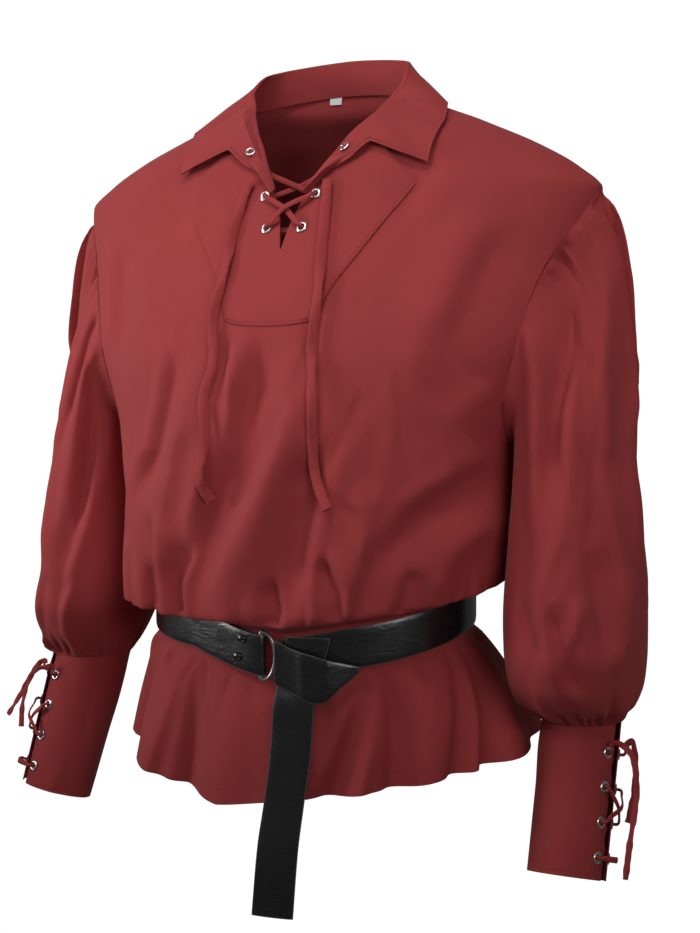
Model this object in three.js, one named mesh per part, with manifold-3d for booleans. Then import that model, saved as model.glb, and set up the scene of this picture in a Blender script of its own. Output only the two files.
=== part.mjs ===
// Full-sleeved lace-up pirate shirt, worn by nobody, with its knotted ring belt.
// Millimetres, +Z up, the shirt's front faces -Y, +X is the wearer's left.
// The origin is the middle of the neck, level with the tops of the shoulder seams.
import * as THREE from "three";
import { LatheGeometry, ExtrudeGeometry, CatmullRomCurve3, Vector3 } from "three";
import { mergeVertices } from "three/addons/utils/BufferGeometryUtils.js";
import Module from "manifold-3d";

// Cloth and seams
const CLOTH = 1.2;
const SEAM_GAP = 0.3;
const LAYER_GAP = 0.3;
const SIDE_GAP = 0.2;

// Eyelets and laces
const EYELET_HOLE = 2.6;
const EYELET_BARREL = 3.2;
const EYELET_FLANGE = 5.2;
const EYELET_PLATE = 0.6;
const EYELET_ROUND = 0.4;
const EYELET_LIP = 0.3;
const EYELET_DEPTH = CLOTH + 0.4;
const EYELET_STEPS = 10;
const PUNCH_RADIUS = 3.9;
const PUNCH_DEPTH = 12;
const PUNCH_SIDES = 8;
const LACE_RADIUS = 1.4;
const LACE_SIDES = 8;
const FREE_LACE_RADIUS = 1.9;
const CUFF_LACE_RISE = LAYER_GAP + EYELET_PLATE + 5;
const CUFF_LACE_SINK = CLOTH + 3.4;
const CUFF_LACE_STEPS = 112;
const NECK_LACE_STEPS = 72;
const NECK_END_STEPS = 30;
const CUFF_END_STEPS = 12;
const LACE_OVERRUN = 6;
// How the lace bends through an eyelet: where the bend starts beside it, how far it bows
// there, how close it passes to the middle and how soon it turns
const LACE_BEND = 2.4;
const LACE_BOW = 0.1;
const LACE_HUG = 0.2;
const LACE_TURN = 1.3;
// Crossing strands: how high the upper and the lower one stand, and the strand inside
const CROSS_OVER = 4;
const CROSS_UNDER = 0.8;
const CROSS_INSIDE = 4.4;

// Belt
const STRAP_WIDTH = 38;
const STRAP_THICK = 2.6;
const STRAP_EASE = 0.9;
const RING_WIRE = 2;
const RING_LIFT = 6;
const RING_WRAP_EASE = 0.35;
const WAIST_LEVEL = -509;

// Body sections from the neck down: half width, half depth, middle, corner fullness,
// how far the front dips and how far the wearer's left side is lifted.
const BODY = [
  { z: 20, a: 90, b: 44, mid: 8, full: 2, dip: 0, tilt: 0 },
  { z: 0, a: 105, b: 43, mid: 7, full: 2, dip: 0, tilt: 0 },
  { z: -24, a: 160, b: 56, mid: 6, full: 2, dip: 0, tilt: 0 },
  { z: -50, a: 218, b: 71, mid: 4.5, full: 2, dip: 0, tilt: 0 },
  { z: -74, a: 259, b: 79, mid: 4, full: 2, dip: 0, tilt: 0 },
  { z: -95, a: 281, b: 86, mid: 3, full: 2, dip: 0, tilt: 0 },
  { z: -150, a: 268, b: 102, mid: -2, full: 2.2, dip: 0, tilt: 0 },
  { z: -240, a: 243, b: 123, mid: -14, full: 2.4, dip: 0, tilt: 0 },
  { z: -335, a: 206, b: 136, mid: -24, full: 2.4, dip: 0, tilt: 0 },
  { z: -400, a: 204, b: 141, mid: -25, full: 2.35, dip: 0, tilt: 0 },
  { z: -445, a: 203, b: 146, mid: -24, full: 2.3, dip: 8, tilt: 4 },
  { z: -466, a: 200, b: 147, mid: -24, full: 2.3, dip: 16, tilt: 9 },
  { z: -475, a: 190, b: 139, mid: -27, full: 2.2, dip: 20, tilt: 10 },
  { z: -480, a: 174, b: 124, mid: -33, full: 2.1, dip: 21, tilt: 9 },
  { z: -486, a: 161, b: 112, mid: -38, full: 2.1, dip: 22, tilt: 8 },
  { z: -532, a: 161, b: 112, mid: -38, full: 2.1, dip: 22, tilt: 8 },
  { z: -550, a: 172, b: 123, mid: -32, full: 2.1, dip: 22, tilt: 10 },
  { z: -590, a: 192, b: 140, mid: -20, full: 2, dip: 22, tilt: 15 },
  { z: -640, a: 210, b: 152, mid: -10, full: 2, dip: 22, tilt: 22 },
];
// How far the belt line and the hem rise above their places at the knot, by bearing
const BELT_RISE = [
  { at: -180, rise: 8, hem: 0 },
  { at: -120, rise: 18, hem: 20 },
  { at: -75, rise: 27, hem: 35 },
  { at: -62, rise: 28, hem: 36 },
  { at: -53, rise: 27.5, hem: 33 },
  { at: -38, rise: 26, hem: 22 },
  { at: -25, rise: 25, hem: 10 },
  { at: -18, rise: 19, hem: 3 },
  { at: -10, rise: 13, hem: -3 },
  { at: 0, rise: 5, hem: -2 },
  { at: 9, rise: 0, hem: 0 },
  { at: 30, rise: 5, hem: 0 },
  { at: 50, rise: 7, hem: 0 },
  { at: 85, rise: 11, hem: 0 },
  { at: 130, rise: 8, hem: 0 },
  { at: 180, rise: 8, hem: 0 },
];
const RISE_TOP = -466;
const RISE_FULL = -484;
const LOWER_LEVELS = [-348, -375, -405, -430, -450, -464, -473, -479, -486, -509, -532, -545,
  -565, -590, -615, -640];
const UPPER_STEPS = 7;
const COLUMN_DRIFT = 0.7;

// Neck slit and neckline, one half: across and height of each point, and where that
// column of cloth reaches the chest.
const NECKLINE = [
  { x: 0.6, z: -151, chest: 0.5 },
  { x: 7, z: -122, chest: 5 },
  { x: 17, z: -99, chest: 10 },
  { x: 31, z: -77, chest: 15 },
  { x: 51, z: -52, chest: 20 },
  { x: 76, z: -25, chest: 25 },
  { x: 92, z: -6, chest: 30 },
];
const SHOULDER = [
  { z: 0, chest: 35 },
  { z: -11, chest: 42 },
  { z: -25, chest: 50 },
  { z: -41, chest: 58 },
  { z: -59, chest: 65 },
  { z: -78, chest: 73 },
  { z: -95, chest: 90 },
];
const BACK_NECK = [
  { share: 0, chest: 0 },
  { share: 0.35, chest: 9 },
  { share: 0.68, chest: 18 },
  { share: 0.9, chest: 26 },
];
const BACK_NECK_RISE = 20;
const SHOULDER_TIP = -95;
const UNDERARM = -335;
const ARMHOLE_SCOOP_FRONT = 25;
const ARMHOLE_SCOOP_BACK = 17;
const SCOOP_ROUND = 0.6;

// Soft folds of the front and the back: from and to, breadth, height (minus is a hollow)
const FRONT_FOLDS = [
  { x1: -4, z1: -246, x2: -14, z2: -330, wide: 16, high: -5 },
  { x1: -14, z1: -330, x2: -44, z2: -425, wide: 17, high: -7 },
  { x1: -13, z1: -236, x2: -30, z2: -330, wide: 9, high: 3 },
  { x1: 45, z1: -292, x2: 16, z2: -366, wide: 16, high: 5 },
  { x1: 16, z1: -366, x2: -40, z2: -452, wide: 16, high: 6 },
  { x1: 61, z1: -364, x2: 52, z2: -445, wide: 15, high: -6 },
  { x1: -108, z1: -252, x2: -104, z2: -313, wide: 13, high: -4 },
  { x1: -104, z1: -313, x2: -150, z2: -375, wide: 14, high: -6 },
  { x1: 205, z1: -128, x2: 178, z2: -262, wide: 20, high: -5 },
  { x1: 196, z1: -366, x2: 150, z2: -440, wide: 18, high: -6 },
  { x1: 120, z1: -400, x2: 96, z2: -455, wide: 15, high: 5 },
];
const BACK_FOLDS = [
  { x1: -60, z1: -220, x2: -44, z2: -430, wide: 18, high: -5 },
  { x1: 66, z1: -250, x2: 58, z2: -440, wide: 18, high: -6 },
  { x1: 4, z1: -300, x2: 8, z2: -440, wide: 20, high: 5 },
  { x1: -150, z1: -330, x2: -120, z2: -440, wide: 18, high: 5 },
  { x1: 150, z1: -330, x2: 124, z2: -440, wide: 18, high: 5 },
];

// Flutes of the skirt below the belt: bearing from the front, breadth, outward swing
const FLUTES = [
  { at: -168, wide: 9, out: 8 },
  { at: -146, wide: 9, out: -7 },
  { at: -124, wide: 10, out: 9 },
  { at: -101, wide: 9, out: -7 },
  { at: -78, wide: 11, out: 7 },
  { at: -75, wide: 30, out: -8 },
  { at: -58, wide: 7, out: -7 },
  { at: -44, wide: 8, out: 8 },
  { at: -20, wide: 6, out: -10 },
  { at: -6, wide: 8, out: 6 },
  { at: 10, wide: 6, out: 5 },
  { at: 20, wide: 5, out: -8 },
  { at: 29, wide: 5, out: 9 },
  { at: 38, wide: 4.5, out: -9 },
  { at: 47, wide: 6, out: 8 },
  { at: 56, wide: 5, out: -8 },
  { at: 64, wide: 4, out: 6 },
  { at: 70, wide: 4, out: -7 },
  { at: 79, wide: 6, out: 8 },
  { at: 95, wide: 30, out: 9 },
  { at: 98, wide: 8, out: -8 },
  { at: 118, wide: 9, out: 9 },
  { at: 142, wide: 9, out: -8 },
  { at: 164, wide: 8, out: 8 },
];
const FLUTE_TOP = -532;
const FLUTE_GROWTH = 0.8;
// Folds fade out at the sides and above the belt
const FOLD_SIDE_FADE = 0.35;
const FOLD_STOP = -484;
const FOLD_FADE = 20;
const HEM = -640;

// The facing laid on the front round the slit: column tops on the neckline, column ends
const FACING = [
  { topX: 0.6, topZ: -151, endX: 0.6, endZ: -224 },
  { topX: 7, topZ: -122, endX: 24, endZ: -223 },
  { topX: 17, topZ: -99, endX: 45, endZ: -219 },
  { topX: 31, topZ: -77, endX: 62, endZ: -186 },
  { topX: 51, topZ: -52, endX: 88, endZ: -146 },
  { topX: 70, topZ: -32, endX: 124, endZ: -92 },
];
const FACING_ROWS = 6;
const FACING_EASE = 0.9;

// Collar, one half from the middle of the back: fold line and outer edge; ease is how
// far the fall stands off the shirt below it.
const COLLAR = [
  { foldX: 0, foldY: 52, foldZ: 52, edgeX: 0, edgeY: 76, edgeZ: 2, ease: 3 },
  { foldX: 24, foldY: 51, foldZ: 51, edgeX: 30, edgeY: 75, edgeZ: 1, ease: 3 },
  { foldX: 50, foldY: 45, foldZ: 48, edgeX: 62, edgeY: 68, edgeZ: -2, ease: 3 },
  { foldX: 70, foldY: 31, foldZ: 43, edgeX: 96, edgeY: 48, edgeZ: -6, ease: 3 },
  { foldX: 80, foldY: 9, foldZ: 35, edgeX: 115, edgeY: 20, edgeZ: 0, ease: 3 },
  { foldX: 84, foldY: -8, foldZ: 19, edgeX: 130, edgeY: -6, edgeZ: -7, ease: 4 },
  { foldX: 77, foldY: -18, foldZ: 4, edgeX: 139, edgeY: -33, edgeZ: -24, ease: 8 },
  { foldX: 71.5, foldY: -29, foldZ: -7, edgeX: 135, edgeY: -62, edgeZ: -70, ease: 8 },
  { foldX: 64, foldY: -39, foldZ: -19, edgeX: 104, edgeY: -66, edgeZ: -58, ease: 10 },
  { foldX: 55, foldY: -51, foldZ: -31, edgeX: 78, edgeY: -66, edgeZ: -48, ease: 10 },
  { foldX: 43, foldY: -62, foldZ: -48, edgeX: 58, edgeY: -72, edgeZ: -64, ease: 7 },
  { foldX: 30, foldY: -76, foldZ: -69, edgeX: 36, edgeY: -79, edgeZ: -76, ease: 4 },
  { foldX: 17.5, foldY: -85, foldZ: -90, edgeX: 18.6, edgeY: -88, edgeZ: -98, ease: 4 },
];
const COLLAR_SEAM = [
  { x: 0, z: 21, back: 1 },
  { x: 26, z: 20, back: 1 },
  { x: 54, z: 16.5, back: 1 },
  { x: 84, z: 9.5, back: 1 },
  { x: 103, z: 1.8, back: 0 },
  { x: 101, z: 0, back: 0 },
  { x: 92, z: -4.5, back: 0 },
  { x: 85, z: -13, back: 0 },
  { x: 76, z: -23.5, back: 0 },
  { x: 64, z: -37, back: 0 },
  { x: 51, z: -50.5, back: 0 },
  { x: 33.5, z: -72, back: 0 },
  { x: 19.5, z: -93, back: 0 },
];
const COLLAR_FALL_STEPS = 4;
const FOLD_RADIUS = 1.6;
const FALL_BULGE = 6;
const FALL_BULGE_BACK = 2;
const FALL_BACK_FROM = -20;
const FALL_BACK_OVER = 30;
const COLLAR_INSET = 2.6;
const COLLAR_RISE = 1.4;
const STAND_SHARE = 0.55;
const FOLD_DROP = 0.4;
// The part of the fall that lies in front of the shirt
const FALL_FRONT = -20;
const FALL_LOW = -3;

// Sleeves below the armhole: middle of the ring, half width and half depth
const SLEEVE_LEFT_ARM = [
  { z: -345, x: 262, y: -11, a: 56, b: 73 },
  { z: -390, x: 264, y: -13, a: 60, b: 77 },
  { z: -436, x: 264, y: -16, a: 62.5, b: 80 },
  { z: -485, x: 264, y: -20, a: 64, b: 84 },
  { z: -520, x: 265, y: -23, a: 63.5, b: 83 },
  { z: -550, x: 266, y: -24, a: 61, b: 75 },
  { z: -570, x: 268, y: -24, a: 53, b: 60 },
  { z: -580, x: 269, y: -22, a: 42, b: 45 },
  { z: -586, x: 270, y: -21, a: 36.5, b: 36.5 },
];
const SLEEVE_RIGHT_ARM = [
  { z: -345, x: 254, y: -11, a: 47, b: 72 },
  { z: -390, x: 255, y: -13, a: 49, b: 75 },
  { z: -436, x: 257, y: -16, a: 52, b: 77 },
  { z: -480, x: 259, y: -20, a: 54, b: 80 },
  { z: -506, x: 262, y: -23, a: 55, b: 79 },
  { z: -530, x: 266, y: -23, a: 52, b: 70 },
  { z: -546, x: 269, y: -22, a: 48, b: 56 },
  { z: -556, x: 272, y: -21, a: 44, b: 46 },
  { z: -562, x: 273, y: -21, a: 40.5, b: 40.5 },
];
const SEAM_PARTS = 2;
const HEAD_STEPS = 4;
const HEAD_PUFF = { left: 0.26, right: 0.26 };
const HEAD_TURN = 0.15;
const SLEEVE_EASE = 3;
const SEAM_SLACK = 0.5;
// Ways in which the sleeve leaves the armhole at the shoulder and under the arm
const HEAD_LEAVE_TOP = { left: [0.36, 0, -0.93], right: [0.25, 0, -0.97] };
const HEAD_LEAVE_LOW = [1, 0, -0.25];
const HEAD_CORNER = 0.02;
const ONWARD_STEP = 4;
const RING_FIRST = 30;
const RING_STEP = 60;
const RING_LAST = -470;
const RING_TABLE_FROM = 3;
// Heights between which the sleeve rests against the blouse of the body
const BLOUSE_FULL = -470;
const BLOUSE_END = -500;
const SLEEVE_FOLD_FADE = 50;
const GATHER_START = 60;
const GATHER_FADE = 40;
const GATHER_END = 8;
const INNER_SIDE = 20;
const SHOULDER_CALM = 4;
const GATHER_LOBES = 7;
const GATHER_HEIGHT = 2.5;
const SLEEVE_FOLDS = [
  { turn: 28, width: 15, top: -130, end: -420, high: -7 },
  { turn: 60, width: 14, top: -160, end: -330, high: 5 },
  { turn: 100, width: 15, top: -250, end: -500, high: -6 },
  { turn: -40, width: 16, top: -160, end: -440, high: -6 },
  { turn: -95, width: 16, top: -240, end: -500, high: -5 },
  { turn: 0, width: 12, top: -120, end: -330, high: 3 },
];

// Cuffs: axis from the sleeve seam to the hand, radii, and where the slit faces
// (degrees forward of straight out from the body).
const CUFFS = {
  left_arm: { side: 1, x1: 270, y1: -21, z1: -586.4, x2: 268, y2: -58, z2: -722, r1: 36.5,
    r2: 36, slit: 2 },
  right_arm: { side: -1, x1: 273, y1: -21, z1: -562.4, x2: 300, y2: -48, z2: -704, r1: 40.5,
    r2: 36, slit: 48 },
};
const CUFF_COLUMNS = 18;
const CUFF_ROWS = 4;
const CUFF_SQUARE = 4;
const SLIT_HALF = 11.5;
const EYELET_SIDE = 24;
const CUFF_EYELET_SHARES = [0.86, 0.64, 0.42, 0.2];

// Eyelets of the neck on the facing, and on the collar
const NECK_EYELETS = [
  { name: "upper", x: 27.3, z: -98 },
  { name: "lower", x: 19, z: -130.5 },
];
const COLLAR_EYELET_COLUMN = 10;
const COLLAR_EYELET_ROW = 5;
const COLLAR_EYELET_LIFT = 0.9;

// Neck lacing: where it comes from inside, its two crossings, and how high the strands lie
const NECK_LACE_TOP = { x: 33, z: -73 };
const NECK_LACE_HIGH = -86;
const NECK_CROSSING = -114;
const NECK_LOW_STRAND = -130;
const NECK_CROSS_OVER = 3.4;
const NECK_LACE_RISE = CLOTH + 2 * LAYER_GAP + FACING_EASE + EYELET_PLATE + 2.6;
const NECK_LACE_SINK = CLOTH + 3;

// Free lace ends of the neck: across and height of each point
const NECK_END_RIGHT = [
  { x: -46, z: -85 },
  { x: -50, z: -101 },
  { x: -55, z: -170 },
  { x: -57, z: -218 },
  { x: -53, z: -261 },
  { x: -55, z: -290 },
  { x: -46, z: -330 },
  { x: -50.5, z: -368 },
  { x: -44, z: -386 },
];
const NECK_END_LEFT = [
  { x: 38.5, z: -86 },
  { x: 40.5, z: -101 },
  { x: 46.5, z: -158 },
  { x: 51, z: -209 },
  { x: 54.5, z: -249 },
  { x: 60, z: -308 },
  { x: 68, z: -358 },
  { x: 79, z: -391 },
];
const NECK_END_EASE = { left: 5.8, right: 5.4 };

// Belt knot: strap pieces as strap-front points (across, height)
const TAIL = [
  { x1: 33, x2: 72, z: -509, lift: 5.6 },
  { x1: 28, x2: 67, z: -531, lift: 5.6 },
  { x1: 24, x2: 62.5, z: -552, lift: 5.6 },
  { x1: 22.5, x2: 61, z: -572, lift: 6.5 },
  { x1: 22, x2: 60, z: -610, lift: 5.6 },
  { x1: 18.5, x2: 56, z: -650, lift: 7 },
  { x1: 13, x2: 51, z: -700, lift: 12 },
  { x1: 9.5, x2: 47.7, z: -760, lift: 16 },
];
const LOOP = [
  { x: 20, zTop: -512.5, zLow: -553 },
  { x: 38, zTop: -519, zLow: -559 },
  { x: 60, zTop: -524, zLow: -567 },
  { x: 67, zTop: -526, zLow: -567 },
  { x: 84, zTop: -530.5, zLow: -552 },
  { x: 97, zTop: -534, zLow: -538.5 },
];
const LOOP_LIFT = 9;
const TAIL_LEAN = 0.2;
const LOOP_LEAN = 0.3;
// Middle of the strap, as run from the shirt's middle and lift: from the folded end to the
// ring, and from the ring back over it to where it lies flat
const BAND_START = [{ run: -34 }, { run: -8 }];
const BAND_BACK = [
  { run: -8, lift: 7.9 },
  { run: -24, lift: 5.3 },
  { run: -40, lift: 3 },
];
const BAND_FLAT = -58;
const BAND_GAP = 26;
const BAND_STEPS = 54;
const WRAP_STEPS = 8;
const RING = { barX: 6.5, reach: 16.5, high: 22.8, corner: 2, cut: 0.6, straight: 7 };
const RING_ARC = 10;
const RING_SIDES = 8;
const RING_FACE = [0.05, -1, 0];
const SNAPS = [
  { name: "upper", x: -11, z: -513 },
  { name: "lower", x: -16, z: -530 },
];
const SNAP_RADIUS = 4.2;
const SNAP_HEIGHT = 1.4;
const SNAP_SEAT = { run: -8, lift: 7.6, slope: 0.16, gap: 0.9 };
// Snap profile as shares of its radius and height
const SNAP_PROFILE = [[0, 0], [1, 0], [0.92, 0.5], [0.6, 1], [0, 1.1]];

const LABEL = { x: -19, z: 12, width: 13, height: 9, thick: 1 };
const LABEL_COLUMNS = 4;

const RED = { color: 0x8e3033, metalness: 0, roughness: 0.8 };
const WHITE = { color: 0xe6e4e0, metalness: 0, roughness: 0.8 };
const LEATHER = { color: 0x17181b, metalness: 0, roughness: 0.45 };
const SILVER = { color: 0xc9cbce, metalness: 1, roughness: 0.3 };
const BLACK_METAL = { color: 0x17181b, metalness: 1, roughness: 0.35 };

const RAD = Math.PI / 180;
const WELD = 1e-4;
const LEVEL_PASSES = 12;
const NORMAL_STEP = 2;
const wasm = await Module();
wasm.setup();

function smooth(t) {
  const s = Math.min(1, Math.max(0, t));
  return s * s * (3 - 2 * s);
}

function atHeight(table, z) {
  const last = table.length - 1;
  if (z >= table[0].z) return { ...table[0] };
  if (z <= table[last].z) return { ...table[last] };
  let i = 0;
  while (table[i + 1].z > z) i += 1;
  const t = (table[i].z - z) / (table[i].z - table[i + 1].z);
  const row = {};
  for (const key of Object.keys(table[0])) {
    row[key] = table[i][key] + (table[i + 1][key] - table[i][key]) * t;
  }
  return row;
}

function powered(value, full) {
  return Math.sign(value) * Math.abs(value) ** (2 / full);
}

function foldHeight(table, x, z) {
  let sum = 0;
  for (const f of table) {
    const dx = f.x2 - f.x1;
    const dz = f.z2 - f.z1;
    const t = Math.min(1, Math.max(0, ((x - f.x1) * dx + (z - f.z1) * dz) / (dx * dx + dz * dz)));
    const gap = Math.hypot(x - f.x1 - dx * t, z - f.z1 - dz * t);
    sum += f.high * Math.exp(-((gap / f.wide) ** 2));
  }
  return sum;
}

// Rise of the belt line and the hem: none in the blouse, each its own at the belt and hem
function beltRise(bearing, z) {
  const turn = ((bearing + 540) % 360) - 180;
  let i = 0;
  while (i < BELT_RISE.length - 2 && BELT_RISE[i + 1].at < turn) i += 1;
  const from = BELT_RISE[i];
  const to = BELT_RISE[i + 1];
  const share = (turn - from.at) / (to.at - from.at);
  const belt = from.rise + (to.rise - from.rise) * share;
  const hem = from.hem + (to.hem - from.hem) * share;
  const below = smooth((RISE_TOP - z) / (RISE_TOP - RISE_FULL));
  return below * (hem + (belt - hem) * smooth((z - HEM) / (FLUTE_TOP - HEM)));
}

function fluteOut(bearing, z) {
  const grow = smooth((FLUTE_TOP - z) / (FLUTE_TOP - HEM)) ** FLUTE_GROWTH;
  let sum = 0;
  for (const f of FLUTES) {
    const apart = ((bearing - f.at + 540) % 360) - 180;
    sum += f.out * Math.exp(-((apart / f.wide) ** 2));
  }
  return sum * grow;
}

// A point of the shirt body: bearing 0 is the front, 90 the wearer's left side
function bodyPoint(bearing, z, lift = 0) {
  const row = atHeight(BODY, z);
  const s = powered(Math.sin(bearing * RAD), row.full);
  const c = powered(Math.cos(bearing * RAD), row.full);
  const x = row.a * s;
  const y = -row.b * c;
  const away = Math.hypot(x / row.a ** 2, y / row.b ** 2) || 1;
  const table = c > 0 ? FRONT_FOLDS : BACK_FOLDS;
  const fade = smooth(Math.abs(c) / FOLD_SIDE_FADE);
  const calm = smooth((z - FOLD_STOP) / FOLD_FADE);
  const out = lift + foldHeight(table, x, z) * fade * calm + fluteOut(bearing, z);
  return new Vector3(
    x + (out * x) / row.a ** 2 / away,
    row.mid + y + (out * y) / row.b ** 2 / away,
    z - row.dip * c + row.tilt * s + beltRise(bearing, z),
  );
}

function bearingAt(x, z) {
  const row = atHeight(BODY, z);
  const share = Math.min(1, Math.abs(x) / row.a);
  return (Math.asin(share ** (row.full / 2)) / RAD) * Math.sign(x || 1);
}

// A point of the front given across and height, lifted along the surface normal
function onFront(x, height, lift = 0) {
  let z = height;
  for (let i = 0; i < LEVEL_PASSES; i += 1) {
    z += height - bodyPoint(bearingAt(x, z), z).z;
  }
  const p = bodyPoint(bearingAt(x, z), z);
  return p.addScaledVector(frontNormal(x, z), lift);
}

function frontNormal(x, z) {
  const step = NORMAL_STEP;
  const across = bodyPoint(bearingAt(x + step, z), z).sub(bodyPoint(bearingAt(x - step, z), z));
  const down = bodyPoint(bearingAt(x, z - step), z - step);
  down.sub(bodyPoint(bearingAt(x, z + step), z + step));
  return down.cross(across).normalize();
}

// Closed wall from a grid of outer points, thickened inwards
function wall(grid, thick, ringed = false, turn = 1, level = null) {
  const rows = grid.length;
  const cols = grid[0].length;
  const normals = grid.map((line, i) => line.map((point, j) => {
    const left = ringed ? line[(j + cols - 1) % cols] : line[Math.max(0, j - 1)];
    const right = ringed ? line[(j + 1) % cols] : line[Math.min(cols - 1, j + 1)];
    const up = grid[Math.max(0, i - 1)][j];
    const down = grid[Math.min(rows - 1, i + 1)][j];
    const across = right.clone().sub(left);
    const along = down.clone().sub(up);
    const normal = along.cross(across);
    if (level && level(i, j)) normal.y = 0;
    return normal.normalize().multiplyScalar(turn);
  }));
  const inner = grid.map((line, i) => line.map((p, j) => {
    return p.clone().addScaledVector(normals[i][j], -thick);
  }));
  const points = [...grid.flat(), ...inner.flat()];
  const half = rows * cols;
  const faces = [];
  const quad = (a, b, c, d) => {
    if (turn > 0) faces.push(a, b, c, a, c, d);
    else faces.push(a, c, b, a, d, c);
  };
  const span = ringed ? cols : cols - 1;
  for (let i = 0; i < rows - 1; i += 1) {
    for (let j = 0; j < span; j += 1) {
      const k = (j + 1) % cols;
      const a = i * cols + j;
      const b = i * cols + k;
      const c = a + cols;
      const d = b + cols;
      quad(a, c, d, b);
      quad(half + a, half + b, half + d, half + c);
    }
  }
  for (let j = 0; j < span; j += 1) {
    const k = (j + 1) % cols;
    quad(j, k, half + k, half + j);
    const low = (rows - 1) * cols;
    quad(low + k, low + j, half + low + j, half + low + k);
  }
  if (!ringed) {
    for (let i = 0; i < rows - 1; i += 1) {
      const a = i * cols;
      const b = a + cols;
      quad(b, a, half + a, half + b);
      const c = a + cols - 1;
      const d = b + cols - 1;
      quad(c, d, half + d, half + c);
    }
  }
  return fromFaces(points, faces);
}

function fromFaces(points, faces) {
  const geometry = new THREE.BufferGeometry();
  const flat = new Float32Array(points.length * 3);
  points.forEach((p, i) => flat.set([p.x, p.y, p.z], i * 3));
  geometry.setAttribute("position", new THREE.BufferAttribute(flat, 3));
  geometry.setIndex(faces);
  return geometry;
}

function toManifold(geometry) {
  const plain = geometry.clone();
  plain.deleteAttribute("normal");
  plain.deleteAttribute("uv");
  const merged = mergeVertices(plain, WELD);
  return new wasm.Manifold(new wasm.Mesh({
    numProp: 3,
    vertProperties: new Float32Array(merged.attributes.position.array),
    triVerts: new Uint32Array(merged.index.array),
  }));
}

function punch(geometry, places) {
  let solid = toManifold(geometry);
  for (const place of places) {
    const drill = new THREE.CylinderGeometry(PUNCH_RADIUS, PUNCH_RADIUS, PUNCH_DEPTH, PUNCH_SIDES);
    const turn = new THREE.Quaternion().setFromUnitVectors(new Vector3(0, 1, 0), place.normal);
    drill.applyQuaternion(turn);
    drill.translate(place.point.x, place.point.y, place.point.z);
    solid = solid.subtract(toManifold(drill));
  }
  const mesh = solid.getMesh();
  const geometryOut = new THREE.BufferGeometry();
  const position = new THREE.BufferAttribute(new Float32Array(mesh.vertProperties), 3);
  geometryOut.setAttribute("position", position);
  geometryOut.setIndex([...mesh.triVerts]);
  return geometryOut;
}

const group = new THREE.Group();
group.name = "pirate_shirt";

function add(name, geometry, look) {
  const material = new THREE.MeshStandardMaterial(look);
  geometry.computeVertexNormals();
  const mesh = new THREE.Mesh(geometry, material);
  mesh.name = name;
  group.add(mesh);
}

// ---- body panels ----
function armholePlace(along, back) {
  const z = SHOULDER_TIP + (UNDERARM - SHOULDER_TIP) * along;
  const scoop = back ? ARMHOLE_SCOOP_BACK : ARMHOLE_SCOOP_FRONT;
  return { bearing: 90 - scoop * Math.sin(Math.PI * along) ** SCOOP_ROUND, z };
}

function sideBearing(z) {
  const row = atHeight(BODY, z);
  return Math.acos((SIDE_GAP / row.b) ** (row.full / 2)) / RAD;
}

// Bearing at which a panel ends at a height: shoulder seam, armhole or side seam
function panelEnd(z, back) {
  const along = (SHOULDER_TIP - z) / (SHOULDER_TIP - UNDERARM);
  if (along <= 0 || along >= 1) return sideBearing(z);
  return Math.min(armholePlace(along, back).bearing, sideBearing(z));
}

function halfColumns(back) {
  const columns = [];
  if (back) {
    for (const p of BACK_NECK) {
      const z = BACK_NECK_RISE * (1 - p.share ** 2);
      columns.push({ z, x: p.share * atHeight(BODY, z).a, chest: p.chest });
    }
  } else {
    for (const p of NECKLINE) columns.push({ ...p });
  }
  for (const p of SHOULDER) {
    columns.push({ z: p.z, x: atHeight(BODY, p.z).a, chest: p.chest });
  }
  return columns;
}

function panelGrid(back) {
  const half = halfColumns(back);
  const inner = back ? half.slice(1) : half;
  const mirrored = inner.map((c) => ({ z: c.z, x: -c.x, chest: -c.chest })).reverse();
  const columns = [...mirrored, ...half];
  const low = atHeight(BODY, UNDERARM);
  const place = (bearing, z) => {
    const end = panelEnd(z, back);
    const held = Math.max(-end, Math.min(end, bearing));
    return bodyPoint(back ? 180 - held : held, z);
  };
  const grid = [];
  for (let i = 0; i <= UPPER_STEPS; i += 1) {
    const t = i / UPPER_STEPS;
    grid.push(columns.map((c) => {
      const z = c.z + (UNDERARM - c.z) * t;
      if (Math.abs(c.chest) === 90) return place(c.chest, z);
      const chestX = low.a * powered(Math.sin(c.chest * RAD), low.full);
      return place(bearingAt(c.x + (chestX - c.x) * t ** COLUMN_DRIFT, z), z);
    }));
  }
  for (const z of LOWER_LEVELS) {
    grid.push(columns.map((c) => place(c.chest, z)));
  }
  return grid;
}

function neckEyeletPlaces() {
  const places = [];
  for (const side of [-1, 1]) {
    for (const e of NECK_EYELETS) {
      const point = onFront(side * e.x, e.z);
      places.push({ point, normal: frontNormal(side * e.x, e.z), side, name: e.name });
    }
  }
  return places;
}

const neckPlaces = neckEyeletPlaces();
const frontGrid = panelGrid(false);

// True where a panel's edge lies on a shoulder or side seam
function onSeam(grid) {
  const width = grid[0].length;
  return (i, j) => {
    const fromSide = Math.min(j, width - 1 - j);
    const shoulder = i === 0 && fromSide < SHOULDER.length;
    return shoulder || (fromSide === 0 && i >= UPPER_STEPS);
  };
}
const backGrid = panelGrid(true);
add("front", punch(wall(frontGrid, CLOTH, false, 1, onSeam(frontGrid)), neckPlaces), RED);
add("back", wall(backGrid, CLOTH, false, -1, onSeam(backGrid)), RED);

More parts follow.
